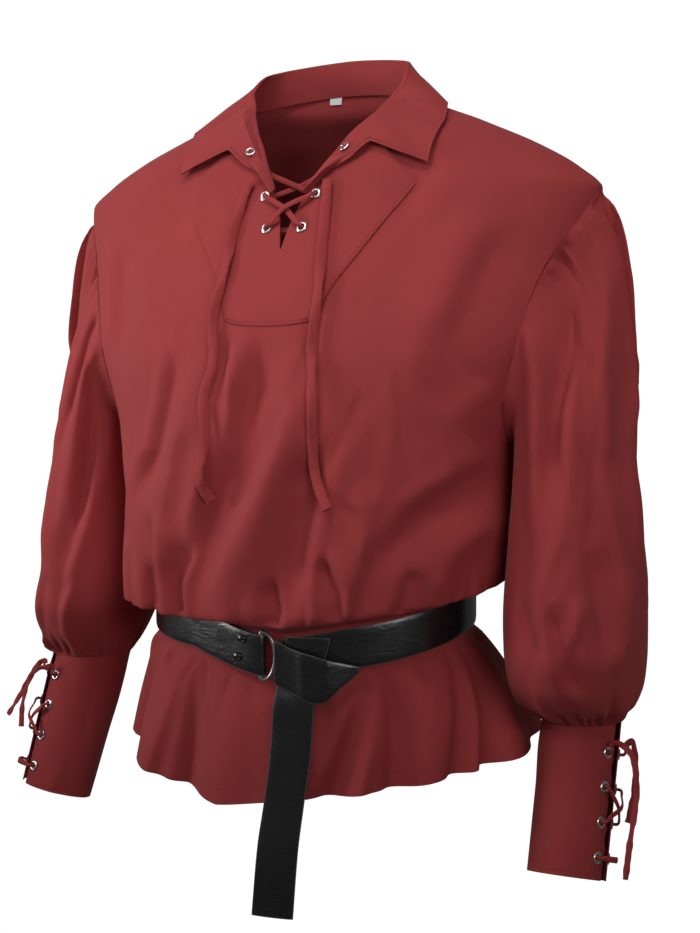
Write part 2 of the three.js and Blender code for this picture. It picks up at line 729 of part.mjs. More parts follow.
// ---- facing ----
function facingGrid() {
  const mirrored = FACING.map((c) => ({ ...c, topX: -c.topX, endX: -c.endX })).reverse();
  const columns = [...mirrored, ...FACING];
  const lift = CLOTH + LAYER_GAP + FACING_EASE;
  const grid = [];
  for (let i = 0; i <= FACING_ROWS; i += 1) {
    const t = i / FACING_ROWS;
    grid.push(columns.map((c) => {
      const x = c.topX + (c.endX - c.topX) * t;
      const z = c.topZ + (c.endZ - c.topZ) * t;
      return onFront(x, z, lift);
    }));
  }
  return grid;
}
add("facing", punch(wall(facingGrid(), CLOTH), neckPlaces), RED);

// ---- collar ----
function collarGrid() {
  const half = COLLAR.map((c, i) => {
    const seam = COLLAR_SEAM[i];
    const bearing = bearingAt(seam.x, seam.z);
    const base = bodyPoint(seam.back ? 180 - bearing : bearing, seam.z);
    const foldLine = new Vector3(c.foldX, c.foldY, c.foldZ);
    const edge = new Vector3(c.edgeX, c.edgeY, c.edgeZ);
    const out = edge.clone().sub(base);
    out.z = 0;
    out.normalize();
    base.addScaledVector(out, -COLLAR_INSET).setZ(base.z + COLLAR_RISE);
    const column = [base.clone()];
    column.push(base.clone().lerp(foldLine, STAND_SHARE));
    column.push(foldLine.clone().addScaledVector(out, -FOLD_RADIUS).setZ(c.foldZ - FOLD_RADIUS));
    column.push(foldLine.clone());
    const fallTop = foldLine.clone().addScaledVector(out, 2 * FOLD_RADIUS);
    fallTop.z = c.foldZ - FOLD_DROP;
    column.push(fallTop);
    const behind = smooth((c.foldY - FALL_BACK_FROM) / FALL_BACK_OVER);
    const bulge = FALL_BULGE + (FALL_BULGE_BACK - FALL_BULGE) * behind;
    for (let k = 1; k <= COLLAR_FALL_STEPS; k += 1) {
      const t = k / COLLAR_FALL_STEPS;
      const p = fallTop.clone().lerp(edge, t);
      p.addScaledVector(out, bulge * Math.sin(Math.PI * t));
      column.push(clearOfFront(p, c.ease));
    }
    return column;
  });
  const flip = (p) => new Vector3(-p.x, p.y, p.z);
  const columns = [...half.slice(1).map((col) => col.map(flip)).reverse(), ...half];
  return columns[0].map((_, i) => columns.map((col) => col[i]));
}

// Moves a point of the collar's fall out of the shirt and facing below it
function clearOfFront(p, ease) {
  if (p.y > FALL_FRONT || p.z > FALL_LOW) return p;
  const surface = onFront(p.x, p.z);
  const limit = surface.y - ease;
  if (p.y > limit) p.y = limit;
  return p;
}
const collarPoints = collarGrid();
add("collar", wall(collarPoints, CLOTH, false, -1), RED);

// ---- sleeves ----
function clearOfBody(p, side) {
  const row = atHeight(BODY, Math.max(p.z, BLOUSE_FULL));
  if (p.z > UNDERARM || p.z < BLOUSE_END) return p;
  const dy = Math.min(1, Math.abs(p.y - row.mid) / row.b);
  const limit = row.a * (1 - dy ** row.full) ** (1 / row.full) + SLEEVE_EASE;
  if (Math.abs(p.x) < limit) p.x = side * limit;
  return p;
}

// Corner points of a panel's armhole edge
function armholeCorners(back) {
  const corners = [];
  for (let i = 0; i <= UPPER_STEPS; i += 1) {
    const z = SHOULDER_TIP + ((UNDERARM - SHOULDER_TIP) * i) / UPPER_STEPS;
    const end = panelEnd(z, back);
    corners.push(bodyPoint(back ? 180 - end : end, z));
  }
  return corners;
}

// Stations round the armhole, on the panels' own edges
function armholeStations() {
  const stations = [];
  for (const back of [false, true]) {
    const corners = armholeCorners(back);
    const half = [];
    for (let k = 0; k < UPPER_STEPS; k += 1) {
      const chord = corners[k + 1].clone().sub(corners[k]);
      for (let part = 0; part < SEAM_PARTS; part += 1) {
        const t = part / SEAM_PARTS;
        const p = corners[k].clone().addScaledVector(chord, t);
        half.push({ along: (k + t) / UPPER_STEPS, back, p, chord });
      }
    }
    if (back) {
      const low = corners[UPPER_STEPS];
      const chord = low.clone().sub(corners[UPPER_STEPS - 1]);
      stations.push({ along: 1, back, p: low.clone(), chord }, ...half.slice(1).reverse());
    } else {
      stations.push(...half);
    }
  }
  return stations.map((s) => ({ ...s, turn: s.back ? 360 - s.along * 180 : s.along * 180 }));
}

// Direction in which the sleeve leaves the armhole, square to the seam
function leaving(station, arm) {
  const { along, back, turn, chord } = station;
  const place = armholePlace(along, back);
  const at = (more) => bodyPoint(back ? 180 - place.bearing - more : place.bearing + more, place.z);
  const onward = at(ONWARD_STEP).sub(at(0)).normalize();
  const end = new Vector3(...(along < 1 / 2 ? HEAD_LEAVE_TOP[arm] : HEAD_LEAVE_LOW));
  const leave = end.lerp(onward, HEAD_TURN * Math.abs(Math.sin(turn * RAD)));
  const seam = chord.clone().normalize();
  if (along > HEAD_CORNER && along < 1 - HEAD_CORNER) leave.addScaledVector(seam, -leave.dot(seam));
  return leave.normalize();
}

function sleeveGrid(table, side) {
  const grid = [];
  const first = table[0];
  const arm = side > 0 ? "left" : "right";
  const seam = STATIONS.map((station) => {
    const leave = leaving(station, arm);
    const p = station.p.clone().addScaledVector(leave, SEAM_GAP + SEAM_SLACK);
    const turn = station.turn * RAD;
    const x = first.x + first.a * Math.cos(turn);
    const q = new Vector3(x, first.y - first.b * Math.sin(turn), first.z);
    for (const v of [p, leave, q]) v.x *= side;
    return { p, leave, q: clearOfBody(q, side) };
  });
  for (let i = 0; i <= HEAD_STEPS; i += 1) {
    const t = i / HEAD_STEPS;
    grid.push(seam.map(({ p, leave, q }) => {
      const length = p.distanceTo(q) * HEAD_PUFF[arm];
      const a = p.clone().addScaledVector(leave, length);
      const b = q.clone().add(new Vector3(0, 0, length));
      const s = 1 - t;
      const point = p.clone().multiplyScalar(s ** 3);
      point.addScaledVector(a, 3 * s * s * t).addScaledVector(b, 3 * s * t * t);
      return point.addScaledVector(q, t ** 3);
    }));
  }
  for (let z = first.z - RING_FIRST; z > RING_LAST; z -= RING_STEP) {
    grid.push(ringAt(atHeight(table, z), side));
  }
  for (const row of table.slice(RING_TABLE_FROM)) {
    grid.push(ringAt(row, side));
  }
  return grid.map((line, i) => line.map((p, j) => foldedSleeve(p, line, i, j, table, side)));
}

function ringAt(row, side) {
  const line = [];
  for (const station of STATIONS) {
    const turn = station.turn * RAD;
    const x = side * (row.x + row.a * Math.cos(turn));
    const p = new Vector3(x, row.y - row.b * Math.sin(turn), row.z);
    line.push(clearOfBody(p, side));
  }
  return line;
}

function foldedSleeve(p, line, i, j, table, side) {
  const { turn } = STATIONS[j];
  const last = table[table.length - 1];
  const out = new Vector3();
  line.forEach((q) => out.add(q));
  out.multiplyScalar(-1 / line.length).add(p).setZ(0).normalize();
  let push = 0;
  for (const f of SLEEVE_FOLDS) {
    const apart = ((turn - f.turn + 540) % 360) - 180;
    const within = smooth((f.top - p.z) / SLEEVE_FOLD_FADE) * smooth((p.z - f.end) / SLEEVE_FOLD_FADE);
    push += f.high * Math.exp(-((apart / f.width) ** 2)) * within;
  }
  const start = smooth((last.z + GATHER_START - p.z) / GATHER_FADE);
  const nearCuff = start * smooth((p.z - last.z) / GATHER_END);
  push += GATHER_HEIGHT * Math.cos(turn * RAD * GATHER_LOBES) * nearCuff;
  const inward = side * p.x < table[0].x - INNER_SIDE;
  if (i === 0 || (inward && push < 0) || p.z > SHOULDER_TIP - SHOULDER_CALM) push = 0;
  const moved = p.clone().addScaledVector(out, push);
  return i === 0 ? moved : clearOfBody(moved, side);
}
const STATIONS = armholeStations();
add("sleeve_left_arm", wall(sleeveGrid(SLEEVE_LEFT_ARM, 1), CLOTH, true, -1), RED);
add("sleeve_right_arm", wall(sleeveGrid(SLEEVE_RIGHT_ARM, -1), CLOTH, true, 1), RED);

// ---- cuffs ----
function cuffFrame(cuff) {
  const top = new Vector3(cuff.side * cuff.x1, cuff.y1, cuff.z1);
  const low = new Vector3(cuff.side * cuff.x2, cuff.y2, cuff.z2);
  const axis = low.clone().sub(top).normalize();
  return { top, low, axis };
}

function cuffPoint(cuff, turn, share, lift = 0) {
  const { top, low, axis } = cuffFrame(cuff);
  const flat = new Vector3(cuff.side * Math.cos(turn * RAD), -Math.sin(turn * RAD), 0);
  const out = flat.clone().addScaledVector(axis, -flat.dot(axis)).normalize();
  const blend = smooth(share * CUFF_SQUARE);
  const direction = flat.clone().lerp(out, blend).normalize();
  const radius = cuff.r1 + (cuff.r2 - cuff.r1) * share + lift;
  return top.clone().lerp(low, share).addScaledVector(direction, radius);
}

function cuffNormal(cuff, turn, share) {
  const { top, low } = cuffFrame(cuff);
  const middle = top.clone().lerp(low, share);
  return cuffPoint(cuff, turn, share).sub(middle).normalize();
}

function cuffGrid(cuff) {
  const grid = [];
  for (let i = 0; i <= CUFF_ROWS; i += 1) {
    const line = [];
    for (let j = 0; j <= CUFF_COLUMNS; j += 1) {
      const span = 360 - 2 * SLIT_HALF;
      const turn = cuff.slit + SLIT_HALF + (span * j) / CUFF_COLUMNS;
      line.push(cuffPoint(cuff, turn, i / CUFF_ROWS));
    }
    grid.push(line);
  }
  return grid;
}

function cuffPlaces(cuff) {
  const places = [];
  for (const lane of [-1, 1]) {
    CUFF_EYELET_SHARES.forEach((share, k) => {
      const turn = cuff.slit + lane * EYELET_SIDE;
      const point = cuffPoint(cuff, turn, share);
      places.push({ point, normal: cuffNormal(cuff, turn, share), lane, k });
    });
  }
  return places;
}

// ---- eyelets ----
function eyelet(place, lift, depth) {
  const profile = [
    new THREE.Vector2(EYELET_HOLE, -depth),
    new THREE.Vector2(EYELET_BARREL, -depth),
    new THREE.Vector2(EYELET_BARREL, lift),
    new THREE.Vector2(EYELET_FLANGE, lift),
    new THREE.Vector2(EYELET_FLANGE - EYELET_ROUND, lift + EYELET_PLATE),
    new THREE.Vector2(EYELET_HOLE + EYELET_LIP, lift + EYELET_PLATE),
    new THREE.Vector2(EYELET_HOLE, -depth),
  ];
  const geometry = new LatheGeometry(profile, EYELET_STEPS);
  const turn = new THREE.Quaternion().setFromUnitVectors(new Vector3(0, 1, 0), place.normal);
  geometry.applyQuaternion(turn);
  geometry.translate(place.point.x, place.point.y, place.point.z);
  return solidOf(geometry);
}

function solidOf(geometry) {
  const plain = geometry.clone();
  plain.deleteAttribute("normal");
  plain.deleteAttribute("uv");
  return mergeVertices(plain, WELD);
}

// ---- laces ----
function laceTube(points, radius, steps) {
  const shape = new THREE.Shape();
  for (let k = 0; k < LACE_SIDES; k += 1) {
    const turn = (k / LACE_SIDES) * 2 * Math.PI;
    const x = radius * Math.cos(turn);
    const y = radius * Math.sin(turn);
    if (k === 0) shape.moveTo(x, y);
    else shape.lineTo(x, y);
  }
  shape.closePath();
  const curve = new CatmullRomCurve3(points, false, "centripetal");
  const geometry = new ExtrudeGeometry(shape, { steps, extrudePath: curve, bevelEnabled: false });
  return solidOf(geometry);
}

// Points of one pass through an eyelet; from and to are flat directions beside it
function pass(place, from, to, rise, sink, outward) {
  const n = place.normal;
  const p = place.point;
  const at = (direction, away, height) => {
    return p.clone().addScaledVector(direction, away).addScaledVector(n, height);
  };
  const list = [
    at(from, LACE_OVERRUN, -sink),
    at(from, LACE_BEND, -sink - LACE_BOW),
    at(from, LACE_HUG, -sink + LACE_TURN),
    at(to, LACE_HUG, rise - LACE_TURN),
    at(to, LACE_BEND, rise + LACE_BOW),
    at(to, LACE_OVERRUN, rise),
  ];
  return outward ? list : list.reverse();
}

function flatDirection(from, to, normal) {
  const d = to.clone().sub(from);
  return d.addScaledVector(normal, -d.dot(normal)).normalize();
}

for (const [label, cuff] of Object.entries(CUFFS)) {
  const places = cuffPlaces(cuff);
  add(`cuff_${label}`, punch(wall(cuffGrid(cuff), CLOTH, false, -cuff.side), places), RED);
  for (const place of places) {
    const lane = place.lane > 0 ? "fore" : "rear";
    const fitting = eyelet(place, LAYER_GAP, EYELET_DEPTH);
    add(`cuff_eyelet_${label}_${lane}_${place.k + 1}`, fitting, SILVER);
  }
  add(`cuff_lacing_${label}`, cuffLacing(cuff, places), RED);
}

function cuffLacing(cuff, places) {
  const find = (lane, k) => places.find((p) => p.lane === lane && p.k === k);
  const rise = CUFF_LACE_RISE;
  const sink = CUFF_LACE_SINK;
  const lowest = CUFF_EYELET_SHARES.length - 1;
  const points = [];
  const runs = [];
  for (let k = lowest; k >= 0; k -= 1) runs.push({ lane: (k % 2 === 1 ? 1 : -1), k });
  const half = (sign) => runs.map((r) => find(sign * r.lane, r.k));
  const chain = [...half(1), ...half(-1).reverse()];
  chain.forEach((place, i) => {
    const before = chain[i - 1];
    const after = chain[i + 1];
    const up = new Vector3(0, 0, 1);
    const from = before ? flatDirection(place.point, before.point, place.normal)
      : flatDirection(place.point, place.point.clone().add(up), place.normal);
    const to = after ? flatDirection(place.point, after.point, place.normal)
      : flatDirection(place.point, place.point.clone().add(up), place.normal);
    const outward = i % 2 === 1;
    const way = outward ? [from, to] : [to, from];
    points.push(...pass(place, ...way, rise, sink, outward));
    if (after) points.push(crossing(cuff, place, after, outward, i));
  });
  return laceTube(points, LACE_RADIUS, CUFF_LACE_STEPS);
}

// Middle point of a crossing strand; one strand of each pair stands above the other
function crossing(cuff, place, after, outside, index) {
  const { top, low } = cuffFrame(cuff);
  const middle = place.point.clone().lerp(after.point, 1 / 2);
  const axisPoint = new THREE.Line3(top, low).closestPointToPoint(middle, true, new Vector3());
  const out = middle.clone().sub(axisPoint).normalize();
  const radius = place.point.clone().sub(axisPoint).length();
  const over = index < CUFF_EYELET_SHARES.length ? CROSS_OVER : CROSS_UNDER;
  const height = outside ? CUFF_LACE_RISE + over : over - CUFF_LACE_SINK - CROSS_INSIDE;
  return axisPoint.addScaledVector(out, radius + height);
}

for (const place of neckPlaces) {
  const side = place.side > 0 ? "left" : "right";
  const lift = CLOTH + 2 * LAYER_GAP + FACING_EASE;
  add(`neck_eyelet_${place.name}_${side}`, eyelet(place, lift, EYELET_DEPTH), SILVER);
}

function collarEyelet(side) {
  const middle = COLLAR.length - 1;
  const at = (k, i) => collarPoints[i][middle + side * k];
  const column = COLLAR_EYELET_COLUMN;
  const row = COLLAR_EYELET_ROW;
  const across = at(column, row + 1).clone().sub(at(column, row - 1));
  const along = at(column + 1, row).clone().sub(at(column - 1, row));
  const normal = across.cross(along).normalize();
  if (normal.y > 0) normal.negate();
  const point = at(column, row).clone().addScaledVector(normal, COLLAR_EYELET_LIFT);
  return { point, normal };
}
for (const side of [-1, 1]) {
  const label = side > 0 ? "left" : "right";
  add(`collar_eyelet_${label}`, eyelet(collarEyelet(side), LAYER_GAP, 0), SILVER);
}

function neckLacing() {
  const find = (name, side) => neckPlaces.find((p) => p.name === name && p.side === side);
  const rise = NECK_LACE_RISE;
  const sink = NECK_LACE_SINK;
  const top = (side) => onFront(side * NECK_LACE_TOP.x, NECK_LACE_TOP.z, -sink);
  const chain = [find("upper", 1), find("lower", -1), find("lower", 1), find("upper", -1)];
  const points = [top(-1), onFront(0, NECK_LACE_HIGH, -sink - 1)];
  chain.forEach((place, i) => {
    const before = chain[i - 1] ? chain[i - 1].point : points[0];
    const after = chain[i + 1] ? chain[i + 1].point : top(1);
    const from = flatDirection(place.point, before, place.normal);
    const to = flatDirection(place.point, after, place.normal);
    const outward = i % 2 === 0;
    const way = outward ? [from, to] : [to, from];
    points.push(...pass(place, ...way, rise, sink, outward));
    if (i === 0) points.push(onFront(0, NECK_CROSSING, rise + NECK_CROSS_OVER));
    if (i === 1) points.push(onFront(0, NECK_LOW_STRAND, -sink));
    if (i === 2) points.push(onFront(0, NECK_CROSSING, rise));
  });
  points.push(onFront(0, NECK_LACE_HIGH, -sink - CROSS_INSIDE), top(1));
  return laceTube(points, LACE_RADIUS, NECK_LACE_STEPS);
}
add("neck_lacing", neckLacing(), RED);

function neckEnd(table, ease) {
  const points = table.map((row) => onFront(row.x, row.z, ease));
  return laceTube(points, FREE_LACE_RADIUS, NECK_END_STEPS);
}
add("neck_lace_end_right", neckEnd(NECK_END_RIGHT, NECK_END_EASE.right), RED);
add("neck_lace_end_left", neckEnd(NECK_END_LEFT, NECK_END_EASE.left), RED);

// Free ends at the top of each cuff's lacing, hanging outside the cuff: bearing from the
// slit, share of the way down the cuff, and height above it
const CUFF_ENDS = {
  left_arm: {
    fore: [
      { turn: 24, share: 0.12, lift: 12 },
      { turn: 16, share: 0.2, lift: 22 },
      { turn: 10, share: 0.36, lift: 26 },
      { turn: 8, share: 0.5, lift: 26 },
      { turn: 8, share: 0.75, lift: 24 },
      { turn: 8, share: 0.97, lift: 23 },
    ],
    rear: [
      { turn: -26, share: 0.12, lift: 11 },
      { turn: -30, share: 0.18, lift: 15 },
      { turn: -24, share: 0.34, lift: 17 },
      { turn: -20, share: 0.5, lift: 16 },
      { turn: -18, share: 0.62, lift: 14 },
    ],
  },
  right_arm: {
    fore: [
      { turn: 20, share: 0.12, lift: 12 },
      { turn: 5, share: 0.2, lift: 16 },
      { turn: -12, share: 0.36, lift: 18 },
      { turn: -18, share: 0.5, lift: 18 },
      { turn: -15, share: 0.64, lift: 14 },
    ],
    rear: [
      { turn: -27, share: 0.13, lift: 11 },
      { turn: -30, share: 0.25, lift: 17 },
      { turn: -31, share: 0.42, lift: 25 },
      { turn: -31, share: 0.6, lift: 34 },
    ],
  },
};

// First two points of a free end, just beyond the lacing's own end at the top eyelet
function laceStart(cuff, lane) {
  const sign = lane === "fore" ? 1 : -1;
  const place = cuffPlaces(cuff).filter((p) => p.lane === sign).pop();
  const up = new Vector3(0, 0, 1);
  const away = up.addScaledVector(place.normal, -up.dot(place.normal)).normalize();
  return [SEAM_GAP, SEAM_GAP + 2].map((more) => {
    const p = place.point.clone().addScaledVector(away, LACE_OVERRUN + more);
    return p.addScaledVector(place.normal, CUFF_LACE_RISE);
  });
}
for (const [label, ends] of Object.entries(CUFF_ENDS)) {
  const cuff = CUFFS[label];
  for (const [lane, rows] of Object.entries(ends)) {
    const points = rows.map((row) => cuffPoint(cuff, cuff.slit + row.turn, row.share, row.lift));
    points.unshift(...laceStart(cuff, lane));
    add(`cuff_lace_end_${label}_${lane}`, laceTube(points, FREE_LACE_RADIUS, CUFF_END_STEPS), RED);
  }
}

// ---- label ----
function labelGrid() {
  const grid = [];
  for (let i = 0; i <= 1; i += 1) {
    const line = [];
    for (let j = 0; j <= LABEL_COLUMNS; j += 1) {
      const x = LABEL.x - LABEL.width / 2 + (LABEL.width * j) / LABEL_COLUMNS;
      const z = LABEL.z - LABEL.height * i;
      const bearing = bearingAt(x, z);
      line.push(bodyPoint(180 - bearing, z));
    }
    grid.push(line);
  }
  return grid;
}
add("neck_label", wall(labelGrid(), LABEL.thick, false, -1), WHITE);

// ---- belt ----
const WAIST_STEPS = 10;
const waistHalf = 180 * WAIST_STEPS;
const waistRing = [];
for (let k = -waistHalf; k <= waistHalf; k += 1) {
  const bearing = k / WAIST_STEPS;
  waistRing.push({ bearing, p: bodyPoint(bearing, WAIST_LEVEL) });
}
let ringRun = 0;
waistRing.forEach((w, i) => {
  if (i > 0) ringRun += Math.hypot(w.p.x - waistRing[i - 1].p.x, w.p.y - waistRing[i - 1].p.y);
  w.run = ringRun;
});
const ringZero = waistRing[waistHalf].run;

function beltPlace(run, lift, width) {
  const wanted = run + ringZero;
  let k = 0;
  while (k < waistRing.length - 2 && waistRing[k + 1].run < wanted) k += 1;
  const t = (wanted - waistRing[k].run) / (waistRing[k + 1].run - waistRing[k].run);
  const bearing = waistRing[k].bearing + t / WAIST_STEPS;
  return bodyPoint(bearing, WAIST_LEVEL + width, lift);
}

// Solid between two ribbons of equal length, each a list of top and bottom points
function boxSweep(outer, inner) {
  const points = [];
  outer.forEach((pair, i) => points.push(pair[0], pair[1], inner[i][1], inner[i][0]));
  const faces = [];
  const count = outer.length;
  for (let i = 0; i < count - 1; i += 1) {
    for (let k = 0; k < 4; k += 1) {
      const a = i * 4 + k;
      const b = i * 4 + ((k + 1) % 4);
      faces.push(a, b, b + 4, a, b + 4, a + 4);
    }
  }
  const e = (count - 1) * 4;
  faces.push(0, 3, 2, 0, 2, 1);
  faces.push(e, e + 1, e + 2, e, e + 2, e + 3);
  return outwardOnly(points, faces);
}

function outwardOnly(points, faces) {
  let volume = 0;
  for (let i = 0; i < faces.length; i += 3) {
    const a = points[faces[i]];
    volume += a.dot(points[faces[i + 1]].clone().cross(points[faces[i + 2]]));
  }
  if (volume < 0) {
    for (let i = 0; i < faces.length; i += 3) {
      [faces[i + 1], faces[i + 2]] = [faces[i + 2], faces[i + 1]];
    }
  }
  return fromFaces(points, faces);
}

function beltBand() {
  const flat = STRAP_EASE + STRAP_THICK / 2;
  const total = waistRing[waistRing.length - 1].run;
  const centre = [];
  const wrap = RING_WIRE + LAYER_GAP + STRAP_THICK / 2 + RING_WRAP_EASE;
  centre.push(...BAND_START.map(({ run }) => ({ run, lift: flat })));
  for (let k = 0; k <= WRAP_STEPS; k += 1) {
    const turn = (-90 + (k * 180) / WRAP_STEPS) * RAD;
    const run = RING.barX + wrap * Math.cos(turn);
    centre.push({ run, lift: RING_LIFT + wrap * Math.sin(turn) });
  }
  centre.push(...BAND_BACK);
  const length = total + BAND_FLAT - BAND_GAP;
  for (let k = 0; k <= BAND_STEPS; k += 1) {
    centre.push({ run: BAND_FLAT - (length * k) / BAND_STEPS, lift: flat });
  }
  const wrapped = centre.map(({ run, lift }) => ({ run: run < -total / 2 ? run + total : run, lift }));
  return strapSweep(wrapped, STRAP_WIDTH / 2);
}

function strapSweep(centre, halfWidth) {
  const outer = [];
  const inner = [];
  const total = waistRing[waistRing.length - 1].run;
  centre.forEach((c, i) => {
    const before = centre[Math.max(0, i - 1)];
    const after = centre[Math.min(centre.length - 1, i + 1)];
    let across = after.run - before.run;
    if (across > total / 2) across -= total;
    if (across < -total / 2) across += total;
    const rise = after.lift - before.lift;
    const length = Math.hypot(across, rise);
    const half = STRAP_THICK / 2 / length;
    const place = (sign, w) => {
      return beltPlace(c.run - sign * rise * half, c.lift + sign * across * half, w);
    };
    outer.push([place(1, halfWidth), place(1, -halfWidth)]);
    inner.push([place(-1, halfWidth), place(-1, -halfWidth)]);
  });
  return boxSweep(outer, inner);
}
add("belt_band", beltBand(), LEATHER);

function beltTail() {
  const outer = [];
  const inner = [];
  for (const row of TAIL) {
    const left = onFront(row.x1, row.z, row.lift);
    const right = onFront(row.x2, row.z, row.lift);
    const lift = (p, more) => p.clone().add(new Vector3(TAIL_LEAN * more, -more, 0));
    outer.push([lift(left, STRAP_THICK), lift(right, STRAP_THICK)]);
    inner.push([left, right]);
  }
  return boxSweep(outer, inner);
}
add("belt_tail", beltTail(), LEATHER);

function beltLoop() {
  const outer = [];
  const inner = [];
  for (const row of LOOP) {
    const top = onFront(row.x, row.zTop, 0);
    const low = onFront(row.x, row.zLow, 0);
    const shift = (p, more) => p.clone().add(new Vector3(LOOP_LEAN * more, -more, 0));
    const front = Math.min(top.y, low.y);
    top.y = front;
    low.y = front;
    outer.push([shift(top, LOOP_LIFT + STRAP_THICK), shift(low, LOOP_LIFT + STRAP_THICK)]);
    inner.push([shift(top, LOOP_LIFT), shift(low, LOOP_LIFT)]);
  }
  return boxSweep(outer, inner);
}
add("belt_loop", beltLoop(), LEATHER);

function beltRing() {
  const loop = [];
  const { barX, high, corner, cut, straight } = RING;
  const reach = RING.reach - 2 * corner;
  for (let k = 0; k <= RING_ARC; k += 1) {
    const turn = (90 - (180 * k) / RING_ARC) * RAD;
    loop.push([barX + corner + reach * Math.cos(turn), high * Math.sin(turn)]);
  }
  loop.push([barX + cut, cut - high], [barX, corner - high]);
  loop.push([barX, -straight], [barX, straight], [barX, high - corner]);
  loop.push([barX + cut, high - cut]);
  const centre = loop.map(([run, w]) => beltPlace(run, RING_LIFT, w));
  const sides = RING_SIDES;
  const points = [];
  const faces = [];
  const count = centre.length;
  centre.forEach((p, i) => {
    const along = centre[(i + 1) % count].clone().sub(centre[(i + count - 1) % count]).normalize();
    const out = new Vector3(...RING_FACE).normalize();
    const wide = along.clone().cross(out).normalize();
    for (let k = 0; k < sides; k += 1) {
      const turn = (k / sides) * 2 * Math.PI;
      const q = p.clone().addScaledVector(wide, RING_WIRE * Math.cos(turn));
      points.push(q.addScaledVector(out, RING_WIRE * Math.sin(turn)));
    }
  });
  for (let i = 0; i < count; i += 1) {
    for (let k = 0; k < sides; k += 1) {
      const a = i * sides + k;
      const b = i * sides + ((k + 1) % sides);
      const c = ((i + 1) % count) * sides + k;
      const d = ((i + 1) % count) * sides + ((k + 1) % sides);
      faces.push(a, b, d, a, d, c);
    }
  }
  return outwardOnly(points, faces);
}
add("belt_ring", beltRing(), SILVER);

for (const snap of SNAPS) {
  const run = snap.x;
  const width = snap.z - beltPlace(run, 0, 0).z;
  const top = SNAP_SEAT.lift + (run - SNAP_SEAT.run) * SNAP_SEAT.slope;
  const seat = top + STRAP_THICK / 2 + LAYER_GAP + SNAP_SEAT.gap;
  const base = beltPlace(run, seat, width);
  const out = beltPlace(run, seat + 1, width).sub(base).normalize();
  const profile = SNAP_PROFILE.map(([radius, height]) => {
    return new THREE.Vector2(SNAP_RADIUS * radius, SNAP_HEIGHT * height);
  });
  const geometry = new LatheGeometry(profile, EYELET_STEPS);
  geometry.applyQuaternion(new THREE.Quaternion().setFromUnitVectors(new Vector3(0, 1, 0), out));
  geometry.translate(base.x, base.y, base.z);
  add(`belt_snap_${snap.name}`, solidOf(geometry), BLACK_METAL);
}

export default group;
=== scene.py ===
import math
from types import SimpleNamespace

import bmesh
import bpy
import numpy as np
from bpy.props import FloatProperty, FloatVectorProperty, PointerProperty
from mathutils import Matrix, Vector


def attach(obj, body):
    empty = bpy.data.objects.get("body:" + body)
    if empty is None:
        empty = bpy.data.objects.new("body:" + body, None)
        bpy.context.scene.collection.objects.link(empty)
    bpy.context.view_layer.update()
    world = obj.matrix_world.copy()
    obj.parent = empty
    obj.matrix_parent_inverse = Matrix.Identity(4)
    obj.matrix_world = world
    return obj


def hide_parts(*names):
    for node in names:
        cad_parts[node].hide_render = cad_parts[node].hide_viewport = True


bl_info = {
    "name": "Laced pirate shirt",
    "version": (1, 0, 0),
    "blender": (4, 5, 0),
    "location": "3D View > Sidebar > Shirt",
    "description": "Full-sleeved lace-up shirt, bloused over a knotted ring belt",
    "category": "Add Mesh",
}

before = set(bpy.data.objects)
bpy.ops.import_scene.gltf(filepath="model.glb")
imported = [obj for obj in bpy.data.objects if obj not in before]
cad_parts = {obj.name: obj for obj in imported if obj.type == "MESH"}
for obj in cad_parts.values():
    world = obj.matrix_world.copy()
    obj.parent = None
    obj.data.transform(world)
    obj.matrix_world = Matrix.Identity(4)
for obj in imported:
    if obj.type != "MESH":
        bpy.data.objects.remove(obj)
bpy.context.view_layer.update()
MM = 0.001

# All sizes below are in millimetres: +Z up, the front faces -Y, +X is the wearer's left,
# and the origin is the middle of the neck, level with the shoulder seams.

# Camera: how far round to the wearer's left, its distance, the level it looks along, and how
# far the picture's middle stands aside of and below the origin's line
CAMERA_TURN = 27
CAMERA_REACH = 1800
CAMERA_LEVEL = -265
CAMERA_ASIDE = 19
CAMERA_DROP = 96.5
FRAME_LONG_SIDE = 933
SENSOR = 36

# Stage: the floor's level, how bright the backdrop looks and how much it lights, and for each
# light where it stands, the level it aims at, its width and height, and its beam in degrees
FLOOR_LEVEL, FLOOR_HALF = -1400, 9000
BACKDROP_GLOW, SOFT_GLOW = 1.05, 0.13
LIGHTS = {
    "key": ((-500, -1350, 1050), -200, (1900, 450), 37),
    "top": ((120, -640, 1250), -170, (600, 250), 56),
    "fill": ((1800, -1500, 100), -250, (1500, 500), 42),
    "side": ((-1600, -900, -150), -260, (500, 500), 44),
}


